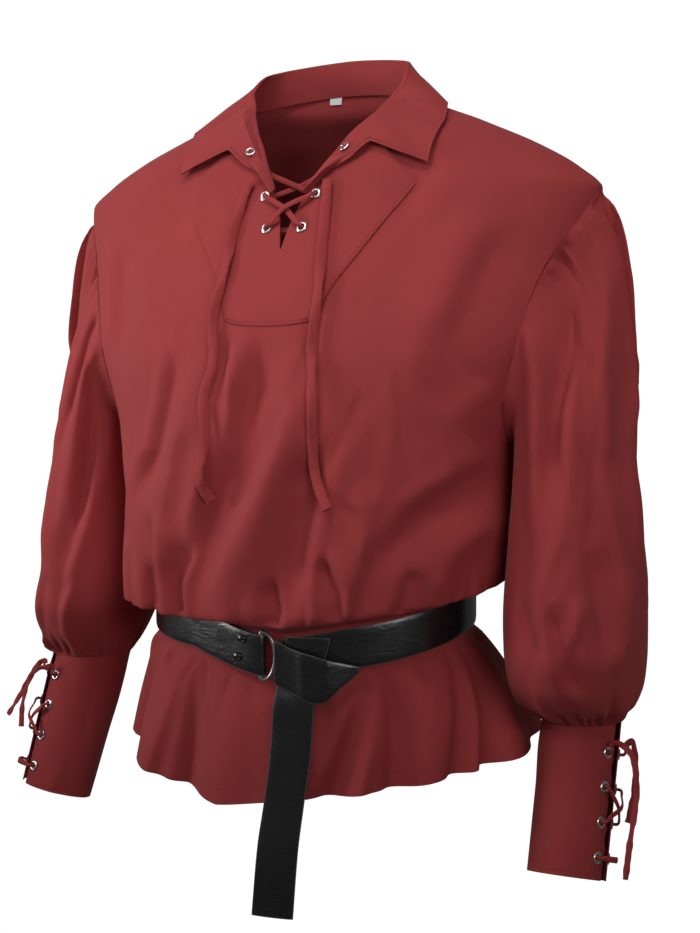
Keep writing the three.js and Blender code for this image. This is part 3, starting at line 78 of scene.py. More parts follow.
class Table:
    """Rows of named sizes, read smoothly at any place along the first column."""

    def __init__(self, columns, rows):
        self.names = columns.split()
        data = np.array(rows, float)
        if data[0, 0] > data[-1, 0]:
            data = data[::-1]
        step = np.diff(data[:, 0])[:, None]
        slope = np.diff(data, axis=0) / step
        agree = slope[:-1] * slope[1:] > 0
        total = np.where(agree, slope[:-1] + slope[1:], 1)
        steep = np.zeros_like(data)
        steep[0], steep[-1] = slope[0], slope[-1]
        steep[1:-1] = np.where(agree, 2 * slope[:-1] * slope[1:] / total, 0)
        self.places, self.data, self.steep = data[:, 0], data, steep

    def read(self, place):
        place = np.clip(np.asarray(place, float), self.places[0], self.places[-1])
        i = np.searchsorted(self.places, place, side="right") - 1
        i = np.clip(i, 0, len(self.places) - 2)
        gap = self.places[i + 1] - self.places[i]
        t = (place - self.places[i]) / gap
        out = {}
        for k, name in enumerate(self.names):
            start, end = self.data[i, k], self.data[i + 1, k]
            leave, arrive = self.steep[i, k] * gap, self.steep[i + 1, k] * gap
            rise = t * t * (3 - 2 * t)
            out[name] = start + (end - start) * rise
            out[name] = out[name] + leave * t * (1 - t) ** 2 - arrive * t * t * (1 - t)
        return SimpleNamespace(**out)


# Body sections: height, half width, half depth, middle, corner fullness, how far the front
# dips and how far the wearer's left side is lifted
BODY = Table("z a b mid full dip tilt", [
    (20, 90, 44, 8, 2, 0, 0),
    (0, 105, 43, 7, 2, 0, 0),
    (-24, 160, 56, 6, 2, 0, 0),
    (-50, 218, 71, 4.5, 2, 0, 0),
    (-74, 259, 79, 4, 2, 0, 0),
    (-95, 281, 86, 3, 2, 0, 0),
    (-150, 268, 102, -2, 2.2, 0, 0),
    (-240, 243, 123, -14, 2.4, 0, 0),
    (-335, 206, 136, -24, 2.4, 0, 0),
    (-400, 204, 141, -25, 2.35, 0, 0),
    (-445, 203, 146, -24, 2.3, 8, 4),
    (-466, 200, 147, -24, 2.3, 16, 9),
    (-475, 190, 139, -27, 2.2, 20, 10),
    (-480, 174, 124, -33, 2.1, 21, 9),
    (-486, 161, 112, -38, 2.1, 22, 8),
    (-532, 161, 112, -38, 2.1, 22, 8),
    (-550, 172, 123, -32, 2.1, 22, 10),
    (-590, 192, 140, -20, 2, 22, 15),
    (-640, 210, 152, -10, 2, 22, 22),
])
# How far the belt line and the hem rise above their places at the knot: bearing, belt, hem
BELT_RISE = [(-180, 8, 0), (-120, 18, 20), (-75, 27, 35), (-62, 28, 36), (-53, 27.5, 33),
             (-38, 26, 22), (-25, 25, 10), (-18, 19, 3), (-10, 13, -3), (0, 5, -2), (9, 0, 0),
             (30, 5, 0), (50, 7, 0), (85, 11, 0), (130, 8, 0), (180, 8, 0)]
# The rise starts and is full at these levels of the blouse, and changes to the hem's below
RISE_TOP, RISE_FULL, RISE_LOW = -466, -484, -532
# The blouse's edge hangs lowest in front
SAG_LEVEL, SAG_REACH, SAG_FRONT, SAG_SIDE = -468, 15, 9, 3
# Section levels from the underarm to the hem, the tuck behind the strap, and the armhole
LOWER_LEVELS = [-335, -348, -375, -405, -430, -450, -464, -473, -479, -486, -509, -532, -545,
                -565, -590, -615, -640]
TUCK_TOP, TUCK_LOW = -482, -534
HEM = -640
SHOULDER_TIP, UNDERARM = -95, -335
SCOOP_FRONT, SCOOP_BACK, SCOOP_ROUND = 25, 17, 0.6
LEVEL_TRIES = 12
COLUMN_DRIFT = 0.7
SIDE_GAP = 0.2
# How finely the panels are cut up, and how their folds and flutes start and fade
PANEL_COLUMNS = {"front": 201, "back": 161}
CHEST_ROWS, ROWS_PER_LEVEL = 96, 6
FOLDS_END, SIDE_CALM = 14, 0.35
BLOUSE_START, SKIRT_START = 16, 10
FLUTE_GROWTH = 0.55

# Half of the front's top edge: across, height, and the bearing where that column meets the
# chest; then the shoulder seam, height and bearing, and the back's neck, share and bearing
NECKLINE = [(0.6, -151, 0.5), (7, -122, 5), (17, -99, 10), (31, -77, 15), (51, -52, 20),
            (76, -25, 25), (92, -6, 30)]
SHOULDER = [(0, 35), (-11, 42), (-25, 50), (-41, 58), (-59, 65), (-78, 73), (-95, 90)]
BACK_NECK = [(0, 0), (0.35, 9), (0.68, 18), (0.9, 26)]
BACK_NECK_RISE = 20

# Soft folds: the line each one follows (across, height), its breadth and its height; minus
# is a hollow. Each tapers to nothing at both ends, leans to one side and has low flanks.
FOLD_LEAN, FOLD_LEAN_OVER = 0.36, 3
FOLD_TAPER, FOLD_TIP = 0.3, 0.12
FLANK_HEIGHT, FLANK_PLACE = 0.3, 2.2
FRONT_FOLDS = [
    ([(-2, -232), (-6, -290), (-16, -345), (-40, -405), (-60, -462)], 15, -9),
    ([(-16, -226), (-30, -290), (-52, -350), (-74, -430)], 12, 5),
    ([(-38, -228), (-40, -262), (-34, -300), (-44, -345)], 9, -5),
    ([(44, -270), (34, -330), (12, -385), (-20, -440), (-50, -474)], 16, 9),
    ([(66, -330), (60, -380), (50, -430), (46, -474)], 13, -9),
    ([(92, -300), (86, -360), (84, -430)], 18, 4),
    ([(-98, -236), (-103, -300), (-116, -345), (-150, -392)], 12, -8),
    ([(-80, -260), (-84, -330), (-100, -400), (-96, -470)], 16, 5),
    ([(-120, -400), (-112, -440), (-104, -474)], 10, -5),
    ([(222, -118), (204, -170), (186, -230), (172, -290)], 26, -5),
    ([(196, -120), (176, -180), (160, -240)], 18, 4),
    ([(206, -262), (186, -278), (160, -300)], 14, -3),
    ([(206, -345), (186, -372), (150, -400), (128, -440)], 13, -8),
    ([(200, -400), (176, -430), (156, -470)], 12, 5),
    ([(122, -360), (112, -410), (92, -474)], 13, 6),
    ([(-206, -130), (-192, -190), (-180, -250)], 16, -6),
    ([(-196, -330), (-180, -380), (-168, -440)], 13, -6),
    ([(-62, -422), (-80, -450), (-70, -478)], 9, -10),
    ([(-128, -440), (-120, -462), (-124, -478)], 8, -7),
    ([(20, -446), (28, -464), (22, -480)], 8, -7),
    ([(70, -430), (88, -455), (90, -478)], 8, -9),
    ([(150, -440), (146, -462), (138, -478)], 8, -7),
    ([(150, -60), (128, -90), (112, -130)], 18, -3),
    ([(-150, -60), (-128, -96), (-118, -140)], 18, -3),
]
BACK_FOLDS = [
    ([(-60, -200), (-54, -300), (-40, -380), (-30, -470)], 17, -8),
    ([(66, -230), (64, -320), (50, -400), (58, -470)], 16, -9),
    ([(4, -280), (10, -360), (2, -470)], 20, 7),
    ([(-140, -310), (-120, -390), (-110, -470)], 16, 7),
    ([(150, -320), (128, -400), (116, -470)], 16, 7),
    ([(-204, -130), (-186, -200), (-176, -280)], 16, -8),
    ([(206, -125), (190, -190), (172, -260)], 15, -7),
    ([(-100, -340), (-90, -400), (-84, -470)], 10, -6),
    ([(98, -330), (92, -400), (86, -470)], 11, -6),
    ([(-150, -50), (-60, -80), (40, -72), (150, -48)], 26, -3),
]

# Flutes of the skirt: bearing from the front at the belt and at the hem, breadth on its right
# and left sides in degrees, and swing outward
FLUTES = [
    (-170, -168, 8, 6, 9), (-150, -146, 9, 5, -8), (-128, -124, 6, 10, 10),
    (-104, -101, 9, 6, -8), (-80, -78, 6, 10, 9), (-75, -75, 30, 30, -8),
    (-60, -58, 5, 8, -8), (-44, -44, 7, 9, 8), (-29, -36, 6, 2.4, 9), (-22, -25, 2.4, 8, -15),
    (-8, -8, 8, 8, 5), (6, 3, 7, 6, -4), (22, 9, 7, 4, 8), (38, 19.5, 2.4, 6, -14),
    (41, 29.5, 7, 2.2, 9), (46, 37, 2, 6, -13), (58, 47, 7, 6, 8), (74, 56, 2.4, 6, -13),
    (79, 62, 5, 3.4, 8), (83, 67, 2.4, 5, -12), (92, 78, 6, 8, 8), (95, 95, 30, 30, 9),
    (104, 98, 8, 6, -9), (124, 118, 7, 9, 9), (148, 142, 9, 6, -9), (168, 164, 7, 8, 8),
]

# The facing round the neck opening: column tops on the neckline and where columns end
FACING = Table("column topX topZ endX endZ", [
    (0, 0.6, -151, 0.6, -224),
    (1, 7, -122, 24, -223),
    (2, 17, -99, 45, -219),
    (3, 31, -77, 62, -186),
    (4, 51, -52, 88, -146),
    (5, 70, -32, 124, -92),
])
FACING_LIFT = 1.9
FACING_COLUMNS, FACING_ROWS = 46, 60
FACING_PRESS, FACING_PRESS_OVER = 0.5, 5

# Collar, one half from the middle of the back: a point of the fold line, a point of the outer
# edge, and how far the fall stands off the shirt
COLLAR = [
    (0, 52, 52, 0, 76, 2, 3),
    (24, 51, 51, 30, 75, 1, 3),
    (50, 45, 48, 62, 68, -2, 3),
    (70, 31, 43, 96, 48, -6, 3),
    (80, 9, 35, 115, 20, 0, 3),
    (84, -8, 19, 130, -6, -7, 4),
    (77, -18, 4, 139, -33, -24, 8),
    (71.5, -29, -7, 135, -62, -70, 8),
    (64, -39, -19, 104, -66, -58, 10),
    (55, -51, -31, 78, -66, -48, 10),
    (43, -62, -48, 58, -72, -64, 7),
    (30, -76, -69, 36, -79, -76, 4),
    (17.5, -85, -90, 18.6, -88, -98, 4),
]
# Its seam on the body: across, height, and 1 on the back or 0 on the front
COLLAR_SEAM = [
    (0, 21, 1), (26, 20, 1), (54, 16.5, 1), (84, 9.5, 1), (103, 1.8, 0), (101, 0, 0),
    (92, -4.5, 0), (85, -13, 0), (76, -23.5, 0), (64, -37, 0), (51, -50.5, 0),
    (33.5, -72, 0), (19.5, -93, 0),
]
FOLD_RADIUS = 1.6
FALL_BULGE, FALL_BULGE_BACK = 6, 2
COLLAR_INSET = 2.6
COLLAR_RISE = 1.4
STAND_IN, STAND_DROP, STAND_BOW = 1.2, 7, 1.6
COLLAR_COLUMNS, STAND_ROWS, TURN_ROWS, FALL_ROWS = 241, 16, 9, 27
EDGE_SOFTNESS = 0.25

# Sleeves below the armhole: height, middle across, middle depth, half width, half depth
SLEEVE_LEFT_ARM = Table("z x y a b", [
    (-345, 262, -11, 56, 73),
    (-390, 264, -13, 60, 77),
    (-436, 264, -16, 62.5, 80),
    (-485, 264, -20, 64, 84),
    (-520, 265, -23, 63.5, 83),
    (-550, 266, -24, 61, 75),
    (-570, 268, -24, 53, 60),
    (-580, 269, -22, 42, 45),
    (-586, 270, -21, 36.5, 36.5),
])
SLEEVE_RIGHT_ARM = Table("z x y a b", [
    (-345, 254, -11, 47, 72),
    (-390, 255, -13, 49, 75),
    (-436, 257, -16, 52, 77),
    (-480, 259, -20, 54, 80),
    (-506, 262, -23, 55, 79),
    (-530, 266, -23, 52, 70),
    (-546, 269, -22, 48, 56),
    (-556, 272, -21, 44, 46),
    (-562, 273, -21, 40.5, 40.5),
])
# How far each sleeve head stands out, and the ways it leaves the shoulder and the underarm
HEAD_PUFF = {1: 0.26, -1: 0.26}
HEAD_LEAVE_TOP = {1: (0.36, 0, -0.93), -1: (0.25, 0, -0.97)}
HEAD_LEAVE_LOW = (1, 0, -0.25)
HEAD_TURN = 0.15
LEAVE_CHANGE, LEAVE_CHANGE_OVER = 0.35, 0.3
SEAM_TIP = 0.04
SLEEVE_EASE = 3
SEAM_OFF = 0.6
SLEEVE_COLUMNS, HEAD_ROWS, ARM_ROWS = 126, 56, 84

# Rows of stitches: how far each stands in from its edge; a sleeve has none that shows
STITCH_IN = {"facing": 2.2, "collar": 4, "cuff": 3.2, "sleeve": -50}

# How the sleeve's folds calm near its two seams, and how much of a hollow and of a ridge is
# lost on the side next to the body
HEAD_CALM, HEAD_SEAM, CUFF_SEAM, CUFF_SEAM_LEFT = 18, 5, 3, 0.25
INNER_HOLLOW_LOSS, INNER_RIDGE_LOSS = 0.8, 0.5
# Sleeve folds: the line each follows (degrees forward of straight out, height), breadth in
# millimetres round the sleeve, height; SLEEVE_DEGREE is the length of one degree round it
SLEEVE_DEGREE = 1.2
LEFT_ARM_FOLDS = [
    ([(40, -135), (54, -190), (70, -245), (84, -290), (88, -410)], 15, -11),
    ([(20, -140), (30, -190), (42, -260), (52, -330)], 11, 6),
    ([(66, -130), (82, -165), (98, -200)], 11, -8),
    ([(104, -190), (100, -250), (106, -330), (110, -430)], 13, 6),
    ([(130, -280), (122, -360), (118, -470), (104, -540)], 14, -9),
    ([(60, -420), (48, -470), (38, -530)], 13, -6),
    ([(20, -440), (24, -500), (34, -540)], 14, 5),
    ([(84, -470), (78, -510), (66, -560)], 10, -7),
    ([(-10, -180), (-16, -260), (-8, -360), (-14, -460)], 16, -7),
    ([(-50, -150), (-56, -240), (-44, -350), (-52, -470)], 17, -9),
    ([(-90, -170), (-84, -260), (-96, -380), (-88, -500)], 16, -8),
    ([(-70, -280), (-72, -380), (-64, -500)], 14, 6),
    ([(-130, -300), (-124, -400), (-120, -520)], 15, -7),
]
RIGHT_ARM_FOLDS = [
    ([(96, -150), (88, -210), (76, -290), (66, -360)], 14, -8),
    ([(112, -220), (100, -300), (92, -380), (96, -450)], 13, 7),
    ([(130, -270), (118, -330), (104, -400), (86, -470), (80, -530)], 15, -10),
    ([(60, -300), (48, -390), (56, -470)], 14, 6),
    ([(36, -170), (30, -260), (22, -360), (34, -480)], 16, -8),
    ([(100, -470), (90, -505), (84, -545)], 11, -8),
    ([(60, -470), (64, -510), (58, -545)], 11, -6),
    ([(-10, -180), (-16, -270), (-6, -380), (-14, -480)], 16, 6),
    ([(-50, -150), (-56, -250), (-46, -360), (-54, -490)], 17, -9),
    ([(-90, -170), (-84, -260), (-96, -380), (-88, -500)], 16, -8),
    ([(-130, -300), (-124, -400), (-120, -500)], 15, -7),
]

# Cuffs: axis from the sleeve seam to the hand, the two radii and where the slit faces
CUFFS = {
    "left": SimpleNamespace(side=1, top=(270, -21, -586.4), low=(268, -58, -722), r1=36.5,
                            r2=36, slit=2, seed=5),
    "right": SimpleNamespace(side=-1, top=(273, -21, -562.4), low=(300, -48, -704), r1=40.5,
                             r2=36, slit=48, seed=8),
}
SLIT_HALF = 11.5
CUFF_COLUMNS, CUFF_ROWS = 150, 60
CUFF_CREASES, CUFF_FLATTENING, CUFF_FLAT_AT, CUFF_CALM = 13, 0.9, 40, 0.16
EYELET_SIDE = 24
CUFF_EYELET_SHARES = (0.86, 0.64, 0.42, 0.2)
NECK_EYELETS = {"upper": (27.3, -98), "lower": (19, -130.5)}
# How far each eyelet's rim stands above its place, and how deep its barrel goes
EYELET_SEATS = {"neck": (2.7, 1.6), "cuff": (0.3, 1.6), "collar": (0.1, 0.3)}
EYELET_WALL, EYELET_PLATE = 0.5, 0.9
COLLAR_EYELET_SINK = 0.4

# Laces
LACE_RISE = 5.9
CUFF_LACE_SINK = 4.6
NECK_LACE_SINK = 4.2
LACE_OVERRUN = 6
# The neck lace starts and ends behind the collar strips, and sags between the eyelets
LACE_START = (33, -73)
LACE_DIP = -86
# How far a cuff lace stands up between eyelets on its way down and on its way up, and how
# far a lace sags inside
LACE_OVER_FIRST, LACE_OVER_SECOND, LACE_SAG = 4, 0.8, 4.4
NECK_END_EASE = {"right": 5.4, "left": 5.8}
NECK_END_SWAY, CUFF_END_SWAY = 0.34, 0.5
BAND_GIRTH = 12
# A free end's twist: length of a slow turn, quick half turns and their share; its puckers:
# height and rate, in breadth and in thickness
TWIST_LENGTH, TWIST_HALF_TURNS, TWIST_SHARE = 95, 9.3, 0.6
PUCKERS, PUCKER_LEVEL, THICK_PUCKER = ((0.05, 0.6), (0.04, 0.27)), 0.93, (0.14, 0.42)
# Free ends at the neck: across and height, from under the collar down
NECK_ENDS = {
    "right": [(-46, -85), (-50, -101), (-55, -170), (-57, -218), (-53, -261), (-55, -290),
              (-46, -330), (-50.5, -368), (-44, -386)],
    "left": [(38.5, -86), (40.5, -101), (46.5, -158), (51, -209), (54.5, -249), (60, -308),
             (68, -358), (79, -391)],
}
# Free ends at the cuffs: degrees from the slit, share of the way down, height above it
CUFF_ENDS = {
    ("left", "fore"): [(24, 0.12, 12), (16, 0.2, 22), (10, 0.36, 26), (8, 0.5, 26),
                       (8, 0.75, 24), (8, 0.97, 23)],
    ("left", "rear"): [(-26, 0.12, 11), (-30, 0.18, 15), (-24, 0.34, 17), (-20, 0.5, 16),
                       (-18, 0.62, 14)],
    ("right", "fore"): [(20, 0.12, 12), (5, 0.2, 16), (-12, 0.36, 18), (-18, 0.5, 18),
                        (-15, 0.64, 14)],
    ("right", "rear"): [(-27, 0.13, 11), (-30, 0.25, 17), (-31, 0.42, 25), (-31, 0.6, 34)],
}

# Belt: its middle level, how far it stands off the cloth, and the ring
WAIST_LEVEL = -509
STRAP_EASE = 0.9
RING_LIFT = 6
RING = SimpleNamespace(bar=6.5, reach=16.5, high=22.8, wire=2, corner=2, gap=0.65)
# The strap's run and lift before and after it turns round the ring's bar, and where the
# rest of it starts and ends on its way round the waist
STRAP_START = (-34, -20, -8)
STRAP_BACK = [(-8, 7.9), (-16, 6.7), (-24, 5.3), (-32, 4), (-40, 3)]
STRAP_ROUND, STRAP_END_GAP, STRAP_STEPS = 58, 84, 260
STRAP_COLUMNS = 15
TAIL = Table("z x1 x2 lift", [
    (-509, 33, 72, 5.6),
    (-531, 28, 67, 5.6),
    (-552, 24, 62.5, 5.6),
    (-572, 22.5, 61, 6.5),
    (-610, 22, 60, 5.6),
    (-650, 18.5, 56, 7),
    (-700, 13, 51, 12),
    (-760, 9.5, 47.7, 16),
])
LOOP = Table("x top low", [
    (20, -512.5, -553),
    (38, -519, -559),
    (60, -524, -567),
    (67, -526, -567),
    (84, -530.5, -552),
    (97, -534, -538.5),
])
LOOP_LIFT = 9
# The tail buckles softly below the knot, and bows and leans as a whole
TAIL_WAVE = SimpleNamespace(high=1.1, start=-570, step=14, middle=-590, reach=26)
TAIL_BREAK, TAIL_BOW, TAIL_LEAN = -600, 1.2, 0.2
# The loop bows, and has creases across it: height, place, breadth, strength at the top edge
# and how much is added down to the low one
LOOP_FOLD, LOOP_BOW, LOOP_LEAN = 60, 1.4, 0.3
LOOP_CREASES = [(1.2, 50, 5, 0.4, 0.6), (0.9, 72, 4, 1, -0.6)]
SNAP_PROFILE = [(0, -0.6), (4.2, -0.6), (4.3, 0), (3.9, 0.5), (3.2, 0.65), (2.9, 0.5),
                (2.5, 0.75), (1.4, 1.15), (0, 1.3)]
LABEL = SimpleNamespace(x=-19, z=16.5, wide=13, high=9, inside=2.4, thick=0.5)


# ---- small mathematics ----
def smooth(t):
    s = np.clip(t, 0, 1)
    return s * s * (3 - 2 * s)


def powered(value, full):
    return np.sign(value) * np.abs(value) ** (2 / full)


def unit(v):
    v = np.asarray(v, float)
    return v / np.maximum(np.linalg.norm(v, axis=-1, keepdims=True), 1e-9)


def blended(a, b, t):
    return a + (b - a) * np.asarray(t)[..., None]


def spread(rows, count):
    """Smoothly resamples each row of numbers to count columns."""
    columns = np.arange(rows.shape[1], dtype=float)
    table = Table("place " + " ".join(f"r{i}" for i in range(len(rows))),
                  np.column_stack([columns, rows.T]))
    read = table.read(np.linspace(0, columns[-1], count))
    return np.array([getattr(read, f"r{i}") for i in range(len(rows))])


def between(start, end, t_start, t_end, t):
    return (t_end - t) / (t_end - t_start) * start + (t - t_start) / (t_end - t_start) * end


def curve_through(points, count):
    """Evenly spaced points on a smooth curve through the given ones."""
    p = np.array(points, float)
    ends = np.vstack([2 * p[0] - p[1], p, 2 * p[-1] - p[-2]])
    fine = []
    for i in range(len(p) - 1):
        a, b, c, d = ends[i:i + 4]
        ta = 0.0
        tb = ta + max(np.linalg.norm(b - a), 1e-6) ** 0.5
        tc = tb + max(np.linalg.norm(c - b), 1e-6) ** 0.5
        td = tc + max(np.linalg.norm(d - c), 1e-6) ** 0.5
        t = np.linspace(tb, tc, 24, endpoint=False)[:, None]
        ab, bc, cd = between(a, b, ta, tb, t), between(b, c, tb, tc, t), between(c, d, tc, td, t)
        abc, bcd = between(ab, bc, ta, tc, t), between(bc, cd, tb, td, t)
        fine.append(between(abc, bcd, tb, tc, t))
    fine = np.vstack([*fine, p[-1:]])
    run = np.concatenate([[0], np.cumsum(np.linalg.norm(np.diff(fine, axis=0), axis=1))])
    even = np.linspace(0, run[-1], count)
    return np.column_stack([np.interp(even, run, fine[:, k]) for k in range(3)])


def fold_height(folds, x, z):
    """Height of all the soft folds at a place across and down the cloth."""
    total = np.zeros(np.broadcast(x, z).shape)
    for order, (line, wide, high) in enumerate(folds):
        p = np.array(line, float)
        lengths = np.linalg.norm(np.diff(p, axis=0), axis=1)
        whole = lengths.sum()
        best = np.full(total.shape, np.inf)
        share = np.zeros(total.shape)
        hand = np.zeros(total.shape)
        run = 0.0
        for (ax, az), (bx, bz), length in zip(p[:-1], p[1:], lengths):
            dx, dz = (bx - ax) / length, (bz - az) / length
            t = np.clip((x - ax) * dx + (z - az) * dz, 0, length)
            gap = np.hypot(x - ax - dx * t, z - az - dz * t)
            near = gap < best
            best = np.where(near, gap, best)
            share = np.where(near, (run + t) / whole, share)
            hand = np.where(near, (x - ax) * dz - (z - az) * dx, hand)
            run += length
        steep = 1 if order % 3 else -1
        q = best / (wide * (1 + FOLD_LEAN * np.tanh(steep * hand / FOLD_LEAN_OVER)))
        taper = (smooth(share / FOLD_TAPER + FOLD_TIP)
                 * smooth((1 - share) / FOLD_TAPER + FOLD_TIP))
        flank = FLANK_HEIGHT * np.exp(-((q - FLANK_PLACE) ** 2))
        total += high * taper * (np.exp(-q * q) - flank)
    return total


def small_creases(seed, count, across, heights, wide, high):
    """Small creases spread over a piece from a fixed seed, running mostly downwards."""
    rng = np.random.default_rng(seed)
    creases = []
    for _ in range(count):
        x, z = rng.uniform(*across), rng.uniform(min(heights), max(heights))
        length, slant = rng.uniform(35, 110), rng.uniform(-0.5, 0.5)
        bend = rng.uniform(-0.12, 0.12)
        line = [(x, z), (x + length * (slant + bend) / 2, z - length / 2),
                (x + length * slant, z - length)]
        rise = high * rng.uniform(0.4, 1) * rng.choice([-1, 1])
        creases.append((line, wide * rng.uniform(0.6, 1.3), rise))
    return creases


class Pleats:
    """Small uneven gathers along a seam: places round it, breadths, heights and reaches."""

    def __init__(self, seed, count, wide, high, reach):
        rng = np.random.default_rng(seed)
        step = 360 / count
        self.at = np.arange(count) * step + rng.uniform(-0.35, 0.35, count) * step
        self.wide = wide * rng.uniform(0.6, 1.25, count)
        self.high = high * rng.uniform(0.35, 1.2, count) * rng.choice([-1, -1, 1], count)
        self.reach = reach * rng.uniform(0.45, 1.5, count)
        self.drift = rng.uniform(-7, 7, count)

    def height(self, turn, away, hold=0.35, full_at=12):
        total = np.zeros(np.broadcast(turn, away).shape)
        for at, wide, high, reach, drift in zip(self.at, self.wide, self.high, self.reach,
                                                self.drift):
            q = np.clip(away / reach, 0, 1)
            apart = (turn - at - drift * q + 540) % 360 - 180
            grow = hold + (1 - hold) * smooth(away / full_at)
            ridge = np.exp(-((apart / (wide * (1 + 0.7 * q))) ** 2))
            total += high * ridge * grow * (1 - smooth(q))
        return total


BLOUSE_PLEATS = Pleats(11, 50, 2.2, 5.0, 62)
SKIRT_PLEATS = Pleats(12, 40, 1.8, 4.0, 52)
HEAD_PLEATS = Pleats(13, 50, 2.5, 5.6, 70)
CUFF_PLEATS = Pleats(14, 36, 3.2, 9.0, 62)
FRONT_CREASES = small_creases(21, 26, (-190, 190), (-200, -400), 9, 1.7)
BACK_CREASES = small_creases(22, 24, (-190, 190), (-160, -400), 8, 2.6)


# ---- body surface ----
def flute_out(bearing, z):
    down = np.clip((TUCK_LOW - z) / (TUCK_LOW - HEM), 0, 1)
    total = np.zeros(np.broadcast(bearing, z).shape)
    for belt, hem, right, left, out in FLUTES:
        apart = (bearing - belt - (hem - belt) * down + 540) % 360 - 180
        total += out * np.exp(-((apart / np.where(apart > 0, left, right)) ** 2))
    return total * smooth(down) ** FLUTE_GROWTH


def belt_rise(bearing, z):
    """Lift of the belt line and the hem: none in the blouse, each its own at belt and hem."""
    at, belt, hem = np.array(BELT_RISE, float).T
    turn = (bearing + 540) % 360 - 180
    belt, hem = np.interp(turn, at, belt), np.interp(turn, at, hem)
    lift = hem + (belt - hem) * smooth((z - HEM) / (RISE_LOW - HEM))
    return lift * smooth((RISE_TOP - z) / (RISE_TOP - RISE_FULL))


def blouse_sag(c, z):
    """How far the bloused edge hangs down over the belt's top, most in front."""
    reach = np.exp(-(((z - SAG_LEVEL) / SAG_REACH) ** 2))
    return (SAG_SIDE + (SAG_FRONT - SAG_SIDE) * np.maximum(c, 0)) * reach


def body_creases(bearing, x, c, z):
    front = fold_height(FRONT_FOLDS + FRONT_CREASES, x, z)
    folds = np.where(c > 0, front, fold_height(BACK_FOLDS + BACK_CREASES, x, z))
    folds = folds * smooth(np.abs(c) / SIDE_CALM) * smooth((z - TUCK_TOP) / FOLDS_END)
    above = BLOUSE_PLEATS.height(bearing, np.maximum(z - TUCK_TOP, 0), 0, BLOUSE_START)
    below = SKIRT_PLEATS.height(bearing, np.maximum(TUCK_LOW - z, 0), 0, SKIRT_START)
    return folds + above + below + flute_out(bearing, z)


def body_point(bearing, z, lift=0.0, creased=True):
    """A point of the shirt body: bearing 0 is the front, 90 the wearer's left side."""
    bearing, z, lift = np.broadcast_arrays(bearing, z, lift)
    row = BODY.read(z)
    s = powered(np.sin(np.radians(bearing)), row.full)
    c = powered(np.cos(np.radians(bearing)), row.full)
    x, y = row.a * s, -row.b * c
    away = np.maximum(np.hypot(x / row.a ** 2, y / row.b ** 2), 1e-9)
    out = lift + (body_creases(bearing, x, c, z) if creased else 0)
    return np.stack([
        x + out * x / row.a ** 2 / away,
        row.mid + y + out * y / row.b ** 2 / away,
        z - row.dip * c + row.tilt * s + belt_rise(bearing, z) - blouse_sag(c, z),
    ], axis=-1)


def bearing_at(x, z):
    row = BODY.read(z)
    share = np.clip(np.abs(x) / row.a, 0, 1)
    return np.degrees(np.arcsin(share ** (row.full / 2))) * np.where(x < 0, -1, 1)


def on_front(x, height, lift=0.0):
    """A point of the front given across and height, lifted square to the cloth."""
    x, height = np.broadcast_arrays(np.asarray(x, float), np.asarray(height, float))
    z = front_level(x, height, True)
    return body_point(bearing_at(x, z), z) + front_normal(x, z) * np.asarray(lift)[..., None]


def on_front_plain(x, height, lift):
    """Like on_front, but on the shirt's plain form without its folds."""
    z = front_level(x, height, False)
    return body_point(bearing_at(x, z), z, lift, creased=False)


def front_level(x, height, creased):
    """Level of the section whose point at x across stands at a height of the front."""
    z = np.array(height, float)
    for _ in range(LEVEL_TRIES):
        z = z + height - body_point(bearing_at(x, z), z, creased=creased)[..., 2]
    return z


def front_normal(x, z):
    step = 2
    across = body_point(bearing_at(x + step, z), z) - body_point(bearing_at(x - step, z), z)
    down = (body_point(bearing_at(x, z - step), z - step)
            - body_point(bearing_at(x, z + step), z + step))
    return unit(np.cross(down, across))


def side_bearing(z):
    row = BODY.read(z)
    return np.degrees(np.arccos((SIDE_GAP / row.b) ** (row.full / 2)))


def armhole_bearing(along, back):
    scoop = SCOOP_BACK if back else SCOOP_FRONT
    wave = np.maximum(np.sin(np.pi * np.clip(along, 0, 1)), 0)
    return 90 - scoop * wave ** SCOOP_ROUND


def panel_end(z, back):
    """Bearing at which a panel ends at a height: shoulder seam, armhole or side seam."""
    along = (SHOULDER_TIP - z) / (SHOULDER_TIP - UNDERARM)
    side = side_bearing(z)
    hole = np.minimum(armhole_bearing(along, back), side)
    return np.where((along > 0) & (along < 1), hole, side)


def panel_columns(back):
    """Top height, across and chest bearing of each column of a panel, right side to left."""
    if back:
        neck = [(BACK_NECK_RISE * (1 - share ** 2), share, chest) for share, chest in BACK_NECK]
        half = [(z, share * float(BODY.read(z).a), chest) for z, share, chest in neck]
    else:
        half = [(z, x, chest) for x, z, chest in NECKLINE]
    half += [(z, float(BODY.read(z).a), chest) for z, chest in SHOULDER]
    half = np.array(half)
    inner = half[1:] if back else half
    return np.vstack([(inner * (1, -1, -1))[::-1], half])


